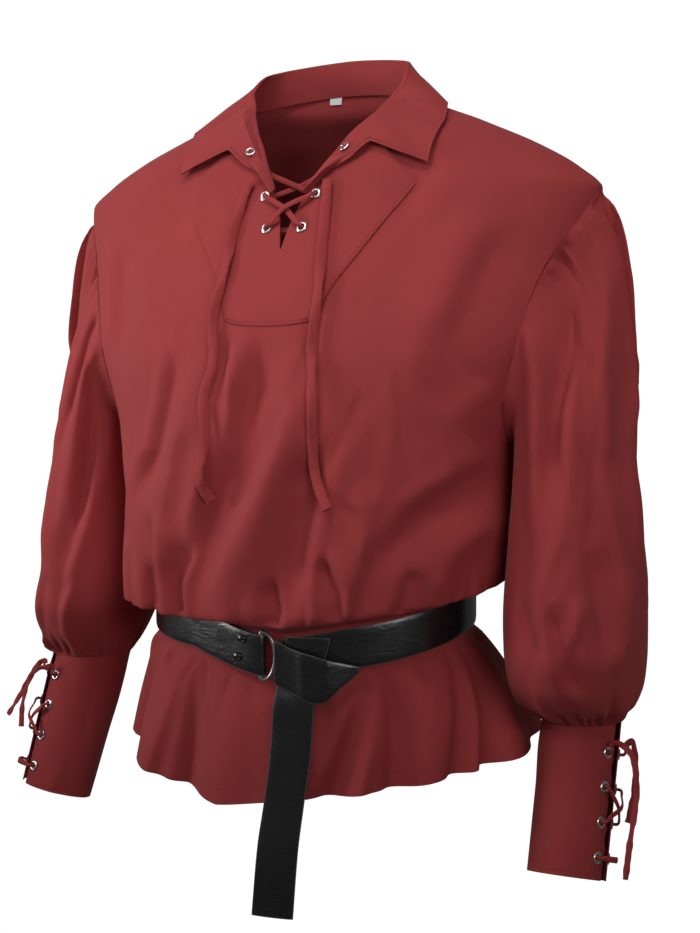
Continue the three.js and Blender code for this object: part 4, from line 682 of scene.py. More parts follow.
def panel_grid(back, across):
    """Points of the front or the back, row by row from its top edge, and their heights."""
    top, x, chest = panel_columns(back).T
    t = np.linspace(0, 1, CHEST_ROWS)[:, None]
    z = top + (UNDERARM - top) * t
    low = BODY.read(UNDERARM)
    chest_x = low.a * powered(np.sin(np.radians(chest)), low.full)
    bearing = bearing_at(x + (chest_x - x) * t ** COLUMN_DRIFT, z)
    bearing[:, 0], bearing[:, -1] = -90, 90
    marks = np.arange(len(LOWER_LEVELS))
    fine = np.linspace(0, marks[-1], marks[-1] * ROWS_PER_LEVEL + 1)[1:]
    levels = np.interp(fine, marks, LOWER_LEVELS)[:, None]
    z = np.vstack([z, levels + 0 * top])
    bearing = np.vstack([bearing, chest + 0 * levels])
    z, bearing = spread(z, across), spread(bearing, across)
    end = panel_end(z, back)
    bearing = np.clip(bearing, -end, end)
    return body_point(180 - bearing if back else bearing, z), z


# ---- mesh making ----
def normals_of(grid, ringed, turn):
    if ringed:
        across = np.roll(grid, -1, axis=1) - np.roll(grid, 1, axis=1)
    else:
        across = np.gradient(grid, axis=1)
    return unit(np.cross(np.gradient(grid, axis=0), across)) * turn


def run_lengths(grid, axis):
    step = np.linalg.norm(np.diff(grid, axis=axis), axis=-1)
    pad = [(0, 0), (0, 0)]
    pad[axis] = (1, 0)
    return np.cumsum(np.pad(step, pad), axis=axis)


def wall_faces(rows, cols, ringed):
    """Faces of a closed wall whose points are an outer grid followed by an inner one."""
    half = rows * cols
    i, j = np.meshgrid(np.arange(rows - 1), np.arange(cols if ringed else cols - 1), indexing="ij")
    a = i * cols + j
    b = i * cols + (j + 1) % cols
    c, d = a + cols, b + cols
    quads = [(a, c, d, b), (half + a, half + b, half + d, half + c)]
    k, n = a[0], b[0]
    low = (rows - 1) * cols
    quads += [(k, n, half + n, half + k), (low + n, low + k, half + low + k, half + low + n)]
    if not ringed:
        a = np.arange(rows - 1) * cols
        b = a + cols
        quads.append((b, a, half + a, half + b))
        a, b = a + cols - 1, b + cols - 1
        quads.append((a, b, half + b, half + a))
    return np.vstack([np.stack(quad, -1).reshape(-1, 4) for quad in quads])


def wall_mesh(name, grid, thick, ringed=False, turn=1, level=None, values=None):
    """Closed cloth wall from a grid of outer points, thickened inwards."""
    normal = normals_of(grid, ringed, turn)
    if level is not None:
        normal[level] *= (1, 0, 1)
        normal = unit(normal)
    points = np.vstack([grid.reshape(-1, 3), (grid - normal * thick).reshape(-1, 3)])
    faces = wall_faces(*grid.shape[:2], ringed)
    if turn < 0:
        faces = faces[:, ::-1]
    run = {"cloth_u": run_lengths(grid, 1), "cloth_v": run_lengths(grid, 0), **(values or {})}
    return mesh_object(name, points, faces, doubled(run))


def doubled(values):
    """The values of a grid's points, given to the outer and the inner points of its wall."""
    return {key: np.concatenate([v.reshape(-1)] * 2) for key, v in values.items()}


def mesh_object(name, points, faces, values=None, crease_angle=48):
    """A smooth mesh in metres from points in millimetres, with values stored at the points."""
    mesh = bpy.data.meshes.new(name)
    corners = [tuple(p) for p in np.asarray(points) * MM]
    mesh.from_pydata(corners, [], [tuple(int(v) for v in f) for f in faces])
    mesh.validate()
    for key, numbers in (values or {}).items():
        layer = mesh.attributes.new(key, "FLOAT", "POINT")
        scaled = np.asarray(numbers, np.float32) * np.float32(MM)
        layer.data.foreach_set("value", scaled)
    mesh.polygons.foreach_set("use_smooth", np.ones(len(mesh.polygons), bool))
    mesh.set_sharp_from_angle(angle=math.radians(crease_angle))
    mesh.update()
    piece = bpy.data.objects.new(name, mesh)
    bpy.context.scene.collection.objects.link(piece)
    return piece


def tube_mesh(name, centre, wide, thick, flat_way, sides=12, closed=False):
    """A band or wire along centre; wide and thick are its two radii at each point."""
    count = len(centre)
    if closed:
        along = unit(np.roll(centre, -1, axis=0) - np.roll(centre, 1, axis=0))
    else:
        along = unit(np.gradient(centre, axis=0))
    across = unit(np.cross(along, flat_way))
    up = np.cross(across, along)
    turn = np.arange(sides) / sides * 2 * np.pi
    ring = (across[:, None] * np.cos(turn)[:, None] * np.reshape(wide, (-1, 1, 1))
            + up[:, None] * np.sin(turn)[:, None] * np.reshape(thick, (-1, 1, 1)))
    points = (centre[:, None] + ring).reshape(-1, 3)
    i, k = np.meshgrid(np.arange(count if closed else count - 1), np.arange(sides),
                       indexing="ij")
    a = i * sides + k
    b = i * sides + (k + 1) % sides
    c, d = (a + sides) % (count * sides), (b + sides) % (count * sides)
    faces = list(np.stack([a, b, d, c], -1).reshape(-1, 4))
    if not closed:
        faces += [range(sides)[::-1], range((count - 1) * sides, count * sides)]
    run = np.concatenate([[0], np.cumsum(np.linalg.norm(np.diff(centre, axis=0), axis=1))])
    around = np.tile(turn / (2 * np.pi) * BAND_GIRTH, count)
    return mesh_object(name, points, faces, {"cloth_u": around, "cloth_v": np.repeat(run, sides)})


def lathe_mesh(name, profile, place, normal, steps=32):
    """A turned fitting: profile of (radius, height) closed on itself or on the axis."""
    normal = unit(normal)
    side = unit(np.cross(normal, (0.3, 0.2, 1)))
    other = np.cross(normal, side)
    turn = np.arange(steps) / steps * 2 * np.pi
    points, rings = [], []
    for radius, height in profile:
        if radius == 0:
            rings.append([len(points)] * steps)
            points.append(place + normal * height)
            continue
        rings.append(list(range(len(points), len(points) + steps)))
        for w in turn:
            points.append(place + normal * height + radius * (side * np.cos(w) + other * np.sin(w)))
    faces = []
    if profile[0] == profile[-1]:
        rings[-1] = rings[0]
    for low, high in zip(rings[:-1], rings[1:]):
        for k in range(steps):
            n = (k + 1) % steps
            face = list(dict.fromkeys([low[k], low[n], high[n], high[k]]))
            if len(face) > 2:
                faces.append(face)
    return mesh_object(name, points, faces, crease_angle=35)


def place_piece(piece, material, node):
    """Gives a piece its finish and its body, and hides the CAD node it stands for."""
    piece.data.materials.append(material)
    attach(piece, "root")
    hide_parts(node)


def make_cloth(context, name, grid, values, ringed=False, turn=1, level=None):
    """A sewn piece: its wall, finish and body; the flat cut of what shows is worked out but not kept.
    """
    thick = context.scene.shirt_cloth.thickness / MM
    piece = wall_mesh(name, grid, thick, ringed, turn, level, values)
    place_piece(piece, cloth_finish(context), name)
    whole = np.concatenate([grid, grid[:, :1]], axis=1) if ringed else grid
    state_cut(whole)


def state_cut(grid):
    """Works out the flat cut of a cloth piece from its own grid, and keeps nothing of it."""
    width = run_lengths(grid, 1)[:, -1].max() * MM
    length = run_lengths(grid, 0)[-1].max() * MM
    step_u, step_v = np.diff(grid, axis=1)[:-1], np.diff(grid, axis=0)[:, :-1]
    area = np.linalg.norm(np.cross(step_u, step_v), axis=-1).sum() * MM * MM
    area = min(max(area, 0.31 * width * length), width * length)


def stitch_line(distance, run):
    """Values that draw a line of stitches: distance from it and length along it."""
    return {"stitch_gap": np.abs(distance), "stitch_run": run}


# ---- shader groups and finishes ----
def new_group(name, inputs, outputs):
    group = bpy.data.node_groups.new(name, "ShaderNodeTree")
    for label, default in inputs:
        kind = "NodeSocketColor" if isinstance(default, tuple) else "NodeSocketFloat"
        group.interface.new_socket(label, in_out="INPUT", socket_type=kind).default_value = default
    for label, kind in outputs:
        group.interface.new_socket(label, in_out="OUTPUT", socket_type=kind)
    enter = group.nodes.new("NodeGroupInput")
    leave = group.nodes.new("NodeGroupOutput")
    return group, enter, leave


def math_node(tree, operation, a, b=None, c=None, clamp=False):
    node = tree.nodes.new("ShaderNodeMath")
    node.operation = operation
    node.use_clamp = clamp
    for socket, value in zip(node.inputs, (a, b, c)):
        if value is None:
            continue
        if isinstance(value, (int, float)):
            socket.default_value = value
        else:
            tree.links.new(value, socket)
    return node.outputs[0]


def attribute(tree, name):
    node = tree.nodes.new("ShaderNodeAttribute")
    node.attribute_name = name
    return node.outputs["Fac"]


def noise(tree, scale, detail, vector=None, stretch=None):
    node = tree.nodes.new("ShaderNodeTexNoise")
    set_inputs(node, Scale=scale, Detail=detail)
    if vector is None:
        vector = tree.nodes.new("ShaderNodeTexCoord").outputs["Object"]
    if stretch is not None:
        mapping = tree.nodes.new("ShaderNodeMapping")
        set_inputs(mapping, Scale=stretch)
        tree.links.new(vector, mapping.inputs["Vector"])
        vector = mapping.outputs["Vector"]
    tree.links.new(vector, node.inputs["Vector"])
    return node.outputs["Fac"]


def ramp(tree, value, low, high):
    node = tree.nodes.new("ShaderNodeMapRange")
    set_inputs(node, From_Min=low, From_Max=high)
    tree.links.new(value, node.inputs["Value"])
    return node.outputs["Result"]


def weave_group():
    """Plain weave: threads across and along, with slubs; gives a height and a shade."""
    if "Plain weave" in bpy.data.node_groups:
        return bpy.data.node_groups["Plain weave"]
    group, enter, leave = new_group(
        "Plain weave",
        [("Thread Spacing", 0.0009), ("Slub", 0.5)],
        [("Height", "NodeSocketFloat"), ("Shade", "NodeSocketFloat")])
    u, v = attribute(group, "cloth_u"), attribute(group, "cloth_v")
    combine = group.nodes.new("ShaderNodeCombineXYZ")
    group.links.new(u, combine.inputs["X"])
    group.links.new(v, combine.inputs["Y"])
    flat = combine.outputs["Vector"]
    waves = []
    for value in (u, v):
        cycles = math_node(group, "DIVIDE", value, enter.outputs["Thread Spacing"])
        waves.append(math_node(group, "SINE", math_node(group, "MULTIPLY", cycles, 2 * math.pi)))
    threads = math_node(group, "MULTIPLY", waves[0], waves[1])
    slub_along = noise(group, 900, 3, flat, (1, 0.06, 1))
    slub_across = noise(group, 900, 3, flat, (0.06, 1, 1))
    slubs = math_node(group, "ADD", slub_along, slub_across)
    slubs = math_node(group, "MULTIPLY", slubs, enter.outputs["Slub"])
    height = math_node(group, "MULTIPLY_ADD", threads, 0.25, slubs)
    group.links.new(height, leave.inputs["Height"])
    shade = math_node(group, "MULTIPLY_ADD", slubs, 0.5, 0.25)
    group.links.new(shade, leave.inputs["Shade"])
    return group


def stitch_group():
    """A row of stitches sunk in a shallow channel, from the distance and length values."""
    if "Stitch row" in bpy.data.node_groups:
        return bpy.data.node_groups["Stitch row"]
    group, enter, leave = new_group(
        "Stitch row",
        [("Stitch Length", 0.0028), ("Thread", 0.0004), ("Channel", 0.0022)],
        [("Mask", "NodeSocketFloat"), ("Height", "NodeSocketFloat")])
    gap, run = attribute(group, "stitch_gap"), attribute(group, "stitch_run")
    near = math_node(group, "DIVIDE", gap, enter.outputs["Thread"])
    line = math_node(group, "SUBTRACT", 1.6, near, clamp=True)
    cycles = math_node(group, "DIVIDE", run, enter.outputs["Stitch Length"])
    part = math_node(group, "FRACT", cycles)
    dash = math_node(group, "LESS_THAN", part, 0.72)
    mask = math_node(group, "MULTIPLY", line, dash)
    group.links.new(mask, leave.inputs["Mask"])
    channel = math_node(group, "DIVIDE", gap, enter.outputs["Channel"])
    channel = math_node(group, "SUBTRACT", 1, channel, clamp=True)
    height = math_node(group, "MULTIPLY_ADD", channel, -1.0, mask)
    group.links.new(height, leave.inputs["Height"])
    return group


def set_inputs(node, **values):
    """Gives a node's sockets their constant values; a socket's spaces are written as _."""
    for label, value in values.items():
        node.inputs[label.replace("_", " ")].default_value = value


def add_group(tree, group, **values):
    node = tree.nodes.new("ShaderNodeGroup")
    node.node_tree = group
    set_inputs(node, **values)
    return node


def new_finish(name):
    material = bpy.data.materials.new(name)
    material.use_nodes = True
    shader = material.node_tree.nodes["Principled BSDF"]
    return material, material.node_tree, shader


def bump(tree, shader, height, strength, distance, under=None):
    node = tree.nodes.new("ShaderNodeBump")
    set_inputs(node, Strength=strength, Distance=distance)
    tree.links.new(height, node.inputs["Height"])
    if under is not None:
        tree.links.new(under, node.inputs["Normal"])
    tree.links.new(node.outputs["Normal"], shader.inputs["Normal"])
    return node.outputs["Normal"]


def mix_colour(tree, factor, a, b, blend="MIX"):
    node = tree.nodes.new("ShaderNodeMix")
    node.data_type = "RGBA"
    node.blend_type = blend
    tree.links.new(factor, node.inputs["Factor"])
    for socket, value in ((node.inputs[6], a), (node.inputs[7], b)):
        if isinstance(value, tuple):
            socket.default_value = value
        else:
            tree.links.new(value, socket)
    return node.outputs[2]


def darker(colour, share):
    return tuple(c * share for c in colour[:3]) + (1.0,)


def woven_finish(name, colour, thread_spacing=0.0009, stitched=True, rumple=1.0):
    """Matt woven cloth with slubs, faint rumpling and rows of stitches."""
    if name in bpy.data.materials:
        return bpy.data.materials[name]
    material, tree, shader = new_finish(name)
    weave = add_group(tree, weave_group(), Thread_Spacing=thread_spacing, Slub=0.5)
    cloudy = noise(tree, 9, 3)
    tone = math_node(tree, "MULTIPLY_ADD", ramp(tree, cloudy, 0.3, 0.7), 0.5,
                     math_node(tree, "MULTIPLY", weave.outputs["Shade"], 0.5))
    base = mix_colour(tree, tone, darker(colour, 0.93), darker(colour, 1.05))
    soft = noise(tree, 26, 3, stretch=(1, 1, 0.45))
    normal = bump(tree, shader, soft, 0.16 * rumple, 0.006)
    normal = bump(tree, shader, weave.outputs["Height"], 0.22, 0.0002, normal)
    if stitched:
        stitch = add_group(tree, stitch_group())
        base = mix_colour(tree, stitch.outputs["Mask"], base, darker(colour, 0.62))
        bump(tree, shader, stitch.outputs["Height"], 0.75, 0.0005, normal)
    tree.links.new(base, shader.inputs["Base Color"])
    set_inputs(shader, Roughness=0.82, Specular_IOR_Level=0.18, Sheen_Weight=0.12,
               Sheen_Roughness=0.45, Sheen_Tint=(1.0, 0.55, 0.52, 1.0))
    return material


def leather_finish(colour):
    """Smooth black belt leather: fine grain, creases, a soft sheen and pale cut edges."""
    if "Belt leather" in bpy.data.materials:
        return bpy.data.materials["Belt leather"]
    material, tree, shader = new_finish("Belt leather")
    pores = tree.nodes.new("ShaderNodeTexVoronoi")
    set_inputs(pores, Scale=900)
    coord = tree.nodes.new("ShaderNodeTexCoord")
    tree.links.new(coord.outputs["Object"], pores.inputs["Vector"])
    cloudy = noise(tree, 38, 4)
    wrinkle = noise(tree, 130, 5, stretch=(1, 1, 2.6))
    edge = ramp(tree, attribute(tree, "cut_edge"), 0.0009, 0.0002)
    body = mix_colour(tree, cloudy, darker(colour, 0.7), darker(colour, 1.5))
    base = mix_colour(tree, edge, body, (0.085, 0.08, 0.075, 1.0))
    tree.links.new(base, shader.inputs["Base Color"])
    rough = math_node(tree, "MULTIPLY_ADD", cloudy, 0.22, 0.16)
    rough = math_node(tree, "MULTIPLY_ADD", edge, 0.3, rough)
    tree.links.new(rough, shader.inputs["Roughness"])
    set_inputs(shader, Specular_IOR_Level=0.6, Coat_Weight=0.35, Coat_Roughness=0.22)
    normal = bump(tree, shader, wrinkle, 0.3, 0.0012)
    bump(tree, shader, pores.outputs["Distance"], 0.25, 0.0002, normal)
    return material


def metal_finish(name, colour, roughness, scratch_scale):
    """Plated metal with faint scratches and handling marks."""
    if name in bpy.data.materials:
        return bpy.data.materials[name]
    material, tree, shader = new_finish(name)
    marks = noise(tree, scratch_scale, 4)
    base = mix_colour(tree, marks, darker(colour, 0.8), colour)
    tree.links.new(base, shader.inputs["Base Color"])
    rough = math_node(tree, "MULTIPLY_ADD", marks, 0.2, roughness)
    tree.links.new(rough, shader.inputs["Roughness"])
    set_inputs(shader, Metallic=1.0)
    bump(tree, shader, marks, 0.1, 0.0002)
    return material


def cloth_finish(context):
    return woven_finish("Red shirt cloth", tuple(context.scene.shirt_cloth.colour))


def lace_finish(context):
    colour = tuple(context.scene.shirt_cloth.colour)
    return woven_finish("Red lace strip", colour, 0.0008, stitched=False, rumple=1.6)


# ---- settings ----
def length_setting(name, description, default, low, high):
    """A setting that is a length in metres."""
    return FloatProperty(name=name, description=description, default=default, min=low, max=high,
                         subtype="DISTANCE", unit="LENGTH")


def colour_setting(name, description, default):
    """A setting that is a colour."""
    return FloatVectorProperty(name=name, description=description, default=default, size=4,
                               min=0, max=1, subtype="COLOR")


def power_setting(name, description, default):
    """A setting that is the power of a light."""
    return FloatProperty(name=name, description=description, default=default, min=0,
                         unit="POWER")


class ClothSettings(bpy.types.PropertyGroup):
    """Cloth of the shirt"""

    thickness: length_setting("Cloth thickness", "Thickness of one layer of cloth",
                              0.0011, 0.0005, 0.003)
    hem_depth: length_setting("Hem depth", "Height of the hem's stitching above the edge",
                              0.011, 0.003, 0.03)
    colour: colour_setting("Cloth colour", "Dyed colour of the cloth and laces",
                           (0.36, 0.044, 0.046, 1.0))


class LaceSettings(bpy.types.PropertyGroup):
    """Laces cut from the shirt's cloth"""

    width: length_setting("Lace width", "Width of the free flat lace", 0.0108, 0.003, 0.014)
    thickness: length_setting("Lace thickness", "Thickness of the folded lace",
                              0.0034, 0.001, 0.005)
    cuff_width: length_setting("Cuff lace width", "Width of the free lace at a cuff",
                               0.0062, 0.002, 0.01)
    cuff_thickness: length_setting("Cuff lace thickness", "Thickness of the free cuff lace",
                                   0.0018, 0.001, 0.004)
    lacing_width: length_setting("Lacing width", "Width of the lace between eyelets",
                                 0.0056, 0.002, 0.008)


class FittingSettings(bpy.types.PropertyGroup):
    """Metal fittings"""

    eyelet_hole: length_setting("Eyelet hole", "Radius of the hole in an eyelet",
                                0.0026, 0.001, 0.004)
    eyelet_flange: length_setting("Eyelet flange", "Radius of an eyelet's rim", 0.0052, 0.004, 0.01)
    eyelet_colour: colour_setting("Eyelet colour", "Colour of the eyelets", (0.80, 0.80, 0.81, 1.0))
    ring_colour: colour_setting("Ring colour", "Colour of the belt ring", (0.50, 0.50, 0.51, 1.0))
    snap_colour: colour_setting("Snap colour", "Colour of the belt's snaps",
                                (0.12, 0.12, 0.125, 1.0))


class BeltSettings(bpy.types.PropertyGroup):
    """Leather belt"""

    width: length_setting("Strap width", "Width of the strap", 0.038, 0.02, 0.06)
    thickness: length_setting("Strap thickness", "Thickness of the strap", 0.0026, 0.001, 0.005)
    colour: colour_setting("Leather colour", "Colour of the belt", (0.0075, 0.0078, 0.0095, 1.0))


class StageSettings(bpy.types.PropertyGroup):
    """Lights"""

    key_power: power_setting("Key light", "Power of the main soft light", 1.0)
    top_power: power_setting("Top light", "Power of the light from above", 0.75)
    fill_power: power_setting("Fill light", "Power of the light on the shaded side", 1.15)
    side_power: power_setting("Side light", "Power of the light from the wearer's right", 1.15)


# ---- operators ----
class SHIRT_OT_stage(bpy.types.Operator):
    """Makes the plain white floor, the soft lights and the camera"""

    bl_idname = "shirt.stage"
    bl_label = "Stage and camera"

    def execute(self, context):
        make_camera(context.scene)
        make_floor()
        for name, row in LIGHTS.items():
            light_power = getattr(context.scene.shirt_stage, f"{name}_power")
            make_light(f"{name.capitalize()} light", *row, light_power)
        make_surroundings(context.scene)
        context.scene.view_settings.view_transform = "Standard"
        return {"FINISHED"}


def make_camera(scene):
    camera = bpy.data.objects.new("Camera", bpy.data.cameras.new("Camera"))
    scene.collection.objects.link(camera)
    turn = math.radians(CAMERA_TURN)
    back = np.array([math.sin(turn), -math.cos(turn), 0])
    spot = back * CAMERA_REACH + (0, 0, CAMERA_LEVEL)
    camera.location = Vector(spot * MM)
    camera.rotation_euler = (math.radians(90), 0, turn)
    camera.data.sensor_width = SENSOR
    camera.data.lens = CAMERA_REACH * SENSOR / FRAME_LONG_SIDE
    camera.data.shift_x = CAMERA_ASIDE / FRAME_LONG_SIDE
    camera.data.shift_y = -CAMERA_DROP / FRAME_LONG_SIDE
    camera.data.clip_start, camera.data.clip_end = 0.05, 60
    scene.camera = camera


def seen_or_lit(tree, lit, seen, output):
    """Shows the camera one shader and lights the object with another."""
    path = tree.nodes.new("ShaderNodeLightPath")
    mix = tree.nodes.new("ShaderNodeMixShader")
    tree.links.new(path.outputs["Is Camera Ray"], mix.inputs["Fac"])
    tree.links.new(lit, mix.inputs[1])
    tree.links.new(seen, mix.inputs[2])
    tree.links.new(mix.outputs["Shader"], tree.nodes[output].inputs["Surface"])


def make_floor():
    half, level = FLOOR_HALF, FLOOR_LEVEL
    corners = [(-half, -half, level), (half, -half, level), (half, half, level), (-half, half, level)]
    floor = mesh_object("Floor", corners, [(0, 1, 2, 3)])
    material, tree, shader = new_finish("Pale floor")
    set_inputs(shader, Base_Color=(0.6, 0.59, 0.58, 1.0), Roughness=0.9)
    glow = tree.nodes.new("ShaderNodeEmission")
    set_inputs(glow, Strength=BACKDROP_GLOW)
    seen_or_lit(tree, shader.outputs["BSDF"], glow.outputs["Emission"], "Material Output")
    floor.data.materials.append(material)


def make_light(name, spot, aim_level, size, beam, light_power):
    light = bpy.data.lights.new(name, "AREA")
    light.energy = light_power
    light.shape = "RECTANGLE"
    light.size, light.size_y = size[0] * MM, size[1] * MM
    light.spread = math.radians(beam)
    holder = bpy.data.objects.new(name, light)
    bpy.context.scene.collection.objects.link(holder)
    holder.location = Vector(spot) * MM
    aim = Vector((0, 0, aim_level * MM)) - holder.location
    holder.rotation_euler = aim.to_track_quat("-Z", "Y").to_euler()


def make_surroundings(scene):
    world = bpy.data.worlds.new("White studio")
    scene.world = world
    world.use_nodes = True
    tree = world.node_tree
    soft = tree.nodes["Background"]
    set_inputs(soft, Color=(1.0, 0.985, 0.97, 1.0), Strength=SOFT_GLOW)
    plain = tree.nodes.new("ShaderNodeBackground")
    set_inputs(plain, Color=(1.0, 1.0, 1.0, 1.0), Strength=BACKDROP_GLOW)
    seen_or_lit(tree, soft.outputs["Background"], plain.outputs["Background"], "World Output")


class SHIRT_OT_laces(bpy.types.Operator):
    """Makes the lacing through the eyelets and the free lace ends"""

    bl_idname = "shirt.laces"
    bl_label = "Laces"

    def execute(self, context):
        settings = context.scene.shirt_laces
        finish = lace_finish(context)
        make_neck_lacing(settings, finish)
        for name in CUFFS:
            make_cuff_lacing(name, settings, finish)
        for name, table in NECK_ENDS.items():
            x, z = np.array(table, float).T
            points = on_front(x, z, np.full(len(x), NECK_END_EASE[name]))
            make_free_end(f"neck_lace_end_{name}", points, settings.width, settings.thickness,
                          NECK_END_SWAY, finish, 3 + len(table))
        for (name, lane), rows in CUFF_ENDS.items():
            make_cuff_end(name, lane, rows, settings, finish)
        return {"FINISHED"}


def neck_place(level, side):
    x, z = NECK_EYELETS[level]
    return on_front(side * x, z), front_normal(np.float64(side * x), np.float64(z))


def eyelet_pass(place, source, target, rise, sink, outward):
    """Points of the lace going through one eyelet, from beside it to beside it."""
    point, normal = place
    flat = []
    for other in (source, target):
        d = other - point
        flat.append(unit(d - normal * d.dot(normal)))
    start, end = flat if outward else flat[::-1]
    steps = [(start, LACE_OVERRUN, -sink), (start, 2.4, -sink - 0.1), (start, 0.2, -sink + 1.3),
             (end, 0.2, rise - 1.3), (end, 2.4, rise + 0.1), (end, LACE_OVERRUN, rise)]
    points = [point + d * away + normal * height for d, away, height in steps]
    return points if outward else points[::-1]


def make_neck_lacing(settings, finish):
    rise, sink = LACE_RISE, NECK_LACE_SINK
    chain = [neck_place("upper", 1), neck_place("lower", -1), neck_place("lower", 1),
             neck_place("upper", -1)]
    across, height = LACE_START
    first, last = on_front(-across, height, -sink), on_front(across, height, -sink)
    points = [first, on_front(0, LACE_DIP, -sink - 1)]
    for i, place in enumerate(chain):
        source = chain[i - 1][0] if i else first
        target = chain[i + 1][0] if i < 3 else last
        points += eyelet_pass(place, source, target, rise, sink, i % 2 == 0)
        crossing = {0: (-114, rise + 3.4), 1: (-130, -sink), 2: (-114, rise)}.get(i)
        if crossing:
            points.append(on_front(0, *crossing))
    points += [on_front(0, LACE_DIP, -sink - LACE_SAG), last]
    holes = [place[0] for place in chain]
    make_lacing("neck_lacing", points, holes, (0, -1, 0.3), settings, finish)


def cuff_axis(cuff):
    """Middle of a cuff at its sleeve seam and at the hand."""
    return np.array(cuff.top) * (cuff.side, 1, 1), np.array(cuff.low) * (cuff.side, 1, 1)


def cuff_point(cuff, turn, share, lift=0.0):
    turn, share, lift = np.broadcast_arrays(*(np.asarray(v, float) for v in (turn, share, lift)))
    top, low = cuff_axis(cuff)
    axis = unit(low - top)
    w = np.radians(turn)
    flat = np.stack([cuff.side * np.cos(w), -np.sin(w), 0 * w], -1)
    square = unit(flat - axis * (flat @ axis)[..., None])
    way = unit(blended(flat, square, smooth(share * 4)))
    radius = cuff.r1 + (cuff.r2 - cuff.r1) * share + lift
    return blended(top, low, share) + way * radius[..., None]


def cuff_place(cuff, lane, k):
    """Place and facing of one cuff eyelet."""
    share = CUFF_EYELET_SHARES[k]
    place = cuff_point(cuff, cuff.slit + lane * EYELET_SIDE, share)
    top, low = cuff_axis(cuff)
    return place, unit(place - (top + (low - top) * share))


def make_cuff_lacing(name, settings, finish):
    cuff = CUFFS[name]
    runs = [(1 if k % 2 else -1, k) for k in (3, 2, 1, 0)]
    chain = [cuff_place(cuff, lane, k) for lane, k in runs]
    chain += [cuff_place(cuff, -lane, k) for lane, k in reversed(runs)]
    rise, sink = LACE_RISE, CUFF_LACE_SINK
    top, low = cuff_axis(cuff)
    axis = low - top
    points = []
    for i, place in enumerate(chain):
        up = place[0] + np.array((0, 0, 1))
        source = chain[i - 1][0] if i else up
        target = chain[i + 1][0] if i < len(chain) - 1 else up
        outward = i % 2 == 1
        points += eyelet_pass(place, source, target, rise, sink, outward)
        if i == len(chain) - 1:
            break
        middle = (place[0] + chain[i + 1][0]) / 2
        centre = top + axis * ((middle - top) @ axis / (axis @ axis))
        foot = top + axis * ((place[0] - top) @ axis / (axis @ axis))
        over = LACE_OVER_FIRST if i < len(runs) else LACE_OVER_SECOND
        height = rise + over if outward else over - sink - LACE_SAG
        radius = np.linalg.norm(place[0] - foot)
        points.append(centre + unit(middle - centre) * (radius + height))
    holes = [place[0] for place in chain]
    way = chain[0][1] + chain[-1][1]
    make_lacing(f"cuff_lacing_{name}_arm", points, holes, way, settings, finish)


def make_lacing(name, points, holes, way, settings, finish):
    """A lace held by eyelets: flat between them and bunched where it goes through."""
    centre = curve_through(points, max(60, len(points) * 9))
    near = np.min([np.linalg.norm(centre - h, axis=1) for h in holes], axis=0)
    open_out = smooth((near - 3) / 8)
    wide = settings.lacing_width / MM / 2 * (0.52 + 0.48 * open_out)
    thick = 1.5 - 0.6 * open_out
    piece = tube_mesh(name, centre, wide, thick, np.array(way, float) + 0 * centre)
    place_piece(piece, finish, name)


def make_free_end(name, points, width, thickness, sway, finish, seed):
    """A free lace end: a flat strip that twists and puckers as it hangs."""
    centre = curve_through(points, 150)
    s = np.linspace(0, 1, len(centre))
    rng = np.random.default_rng(seed)
    phases = rng.uniform(0, 2 * np.pi, 4)
    length = np.linalg.norm(np.diff(centre, axis=0), axis=1).sum()
    turns = length / TWIST_LENGTH
    twist = sway * (np.sin(2 * np.pi * turns * s + phases[0])
                    + TWIST_SHARE * np.sin(TWIST_HALF_TURNS * np.pi * s + phases[1]))
    along = unit(np.gradient(centre, axis=0))
    out = np.array((0.25, -1, 0.1)) + 0 * centre
    side = unit(np.cross(along, out))
    flat_way = out * np.cos(twist)[:, None] + side * np.sin(twist)[:, None]
    pucker = sum(high * np.sin(length * s * rate + phase)
                 for (high, rate), phase in zip(PUCKERS, phases[2:]))
    wide = width / MM / 2 * (PUCKER_LEVEL + pucker)
    high, rate = THICK_PUCKER
    thick = thickness / MM / 2 * (1 + high * np.sin(length * s * rate + phases[1]))
    piece = tube_mesh(name, centre, wide, thick, flat_way, sides=16)
    place_piece(piece, finish, name)


def make_cuff_end(name, lane, rows, settings, finish):
    cuff = CUFFS[name]
    place, normal = cuff_place(cuff, 1 if lane == "fore" else -1, 3)
    up = unit(np.array((0, 0, 1)) - normal * normal[2])
    points = [place + up * (LACE_OVERRUN + more) + normal * LACE_RISE for more in (0.3, 2.3)]
    points += [cuff_point(cuff, cuff.slit + turn, share, lift) for turn, share, lift in rows]
    make_free_end(f"cuff_lace_end_{name}_arm_{lane}", points, settings.cuff_width,
                  settings.cuff_thickness, CUFF_END_SWAY, finish, len(points))


class SHIRT_OT_body(bpy.types.Operator):
    """Makes the front and the back with their folds, gathers and hem"""

    bl_idname = "shirt.body"
    bl_label = "Front and back"

    def execute(self, context):
        hem_depth = context.scene.shirt_cloth.hem_depth / MM
        for name, across in PANEL_COLUMNS.items():
            back = name == "back"
            grid, z = panel_grid(back, across)
            level = np.zeros(z.shape, bool)
            level[CHEST_ROWS:, [0, -1]] = True
            values = stitch_line(z - HEM - hem_depth, run_lengths(grid, 1))
            turn = -1 if back else 1
            make_cloth(context, name, grid, values, False, turn, level)
        return {"FINISHED"}


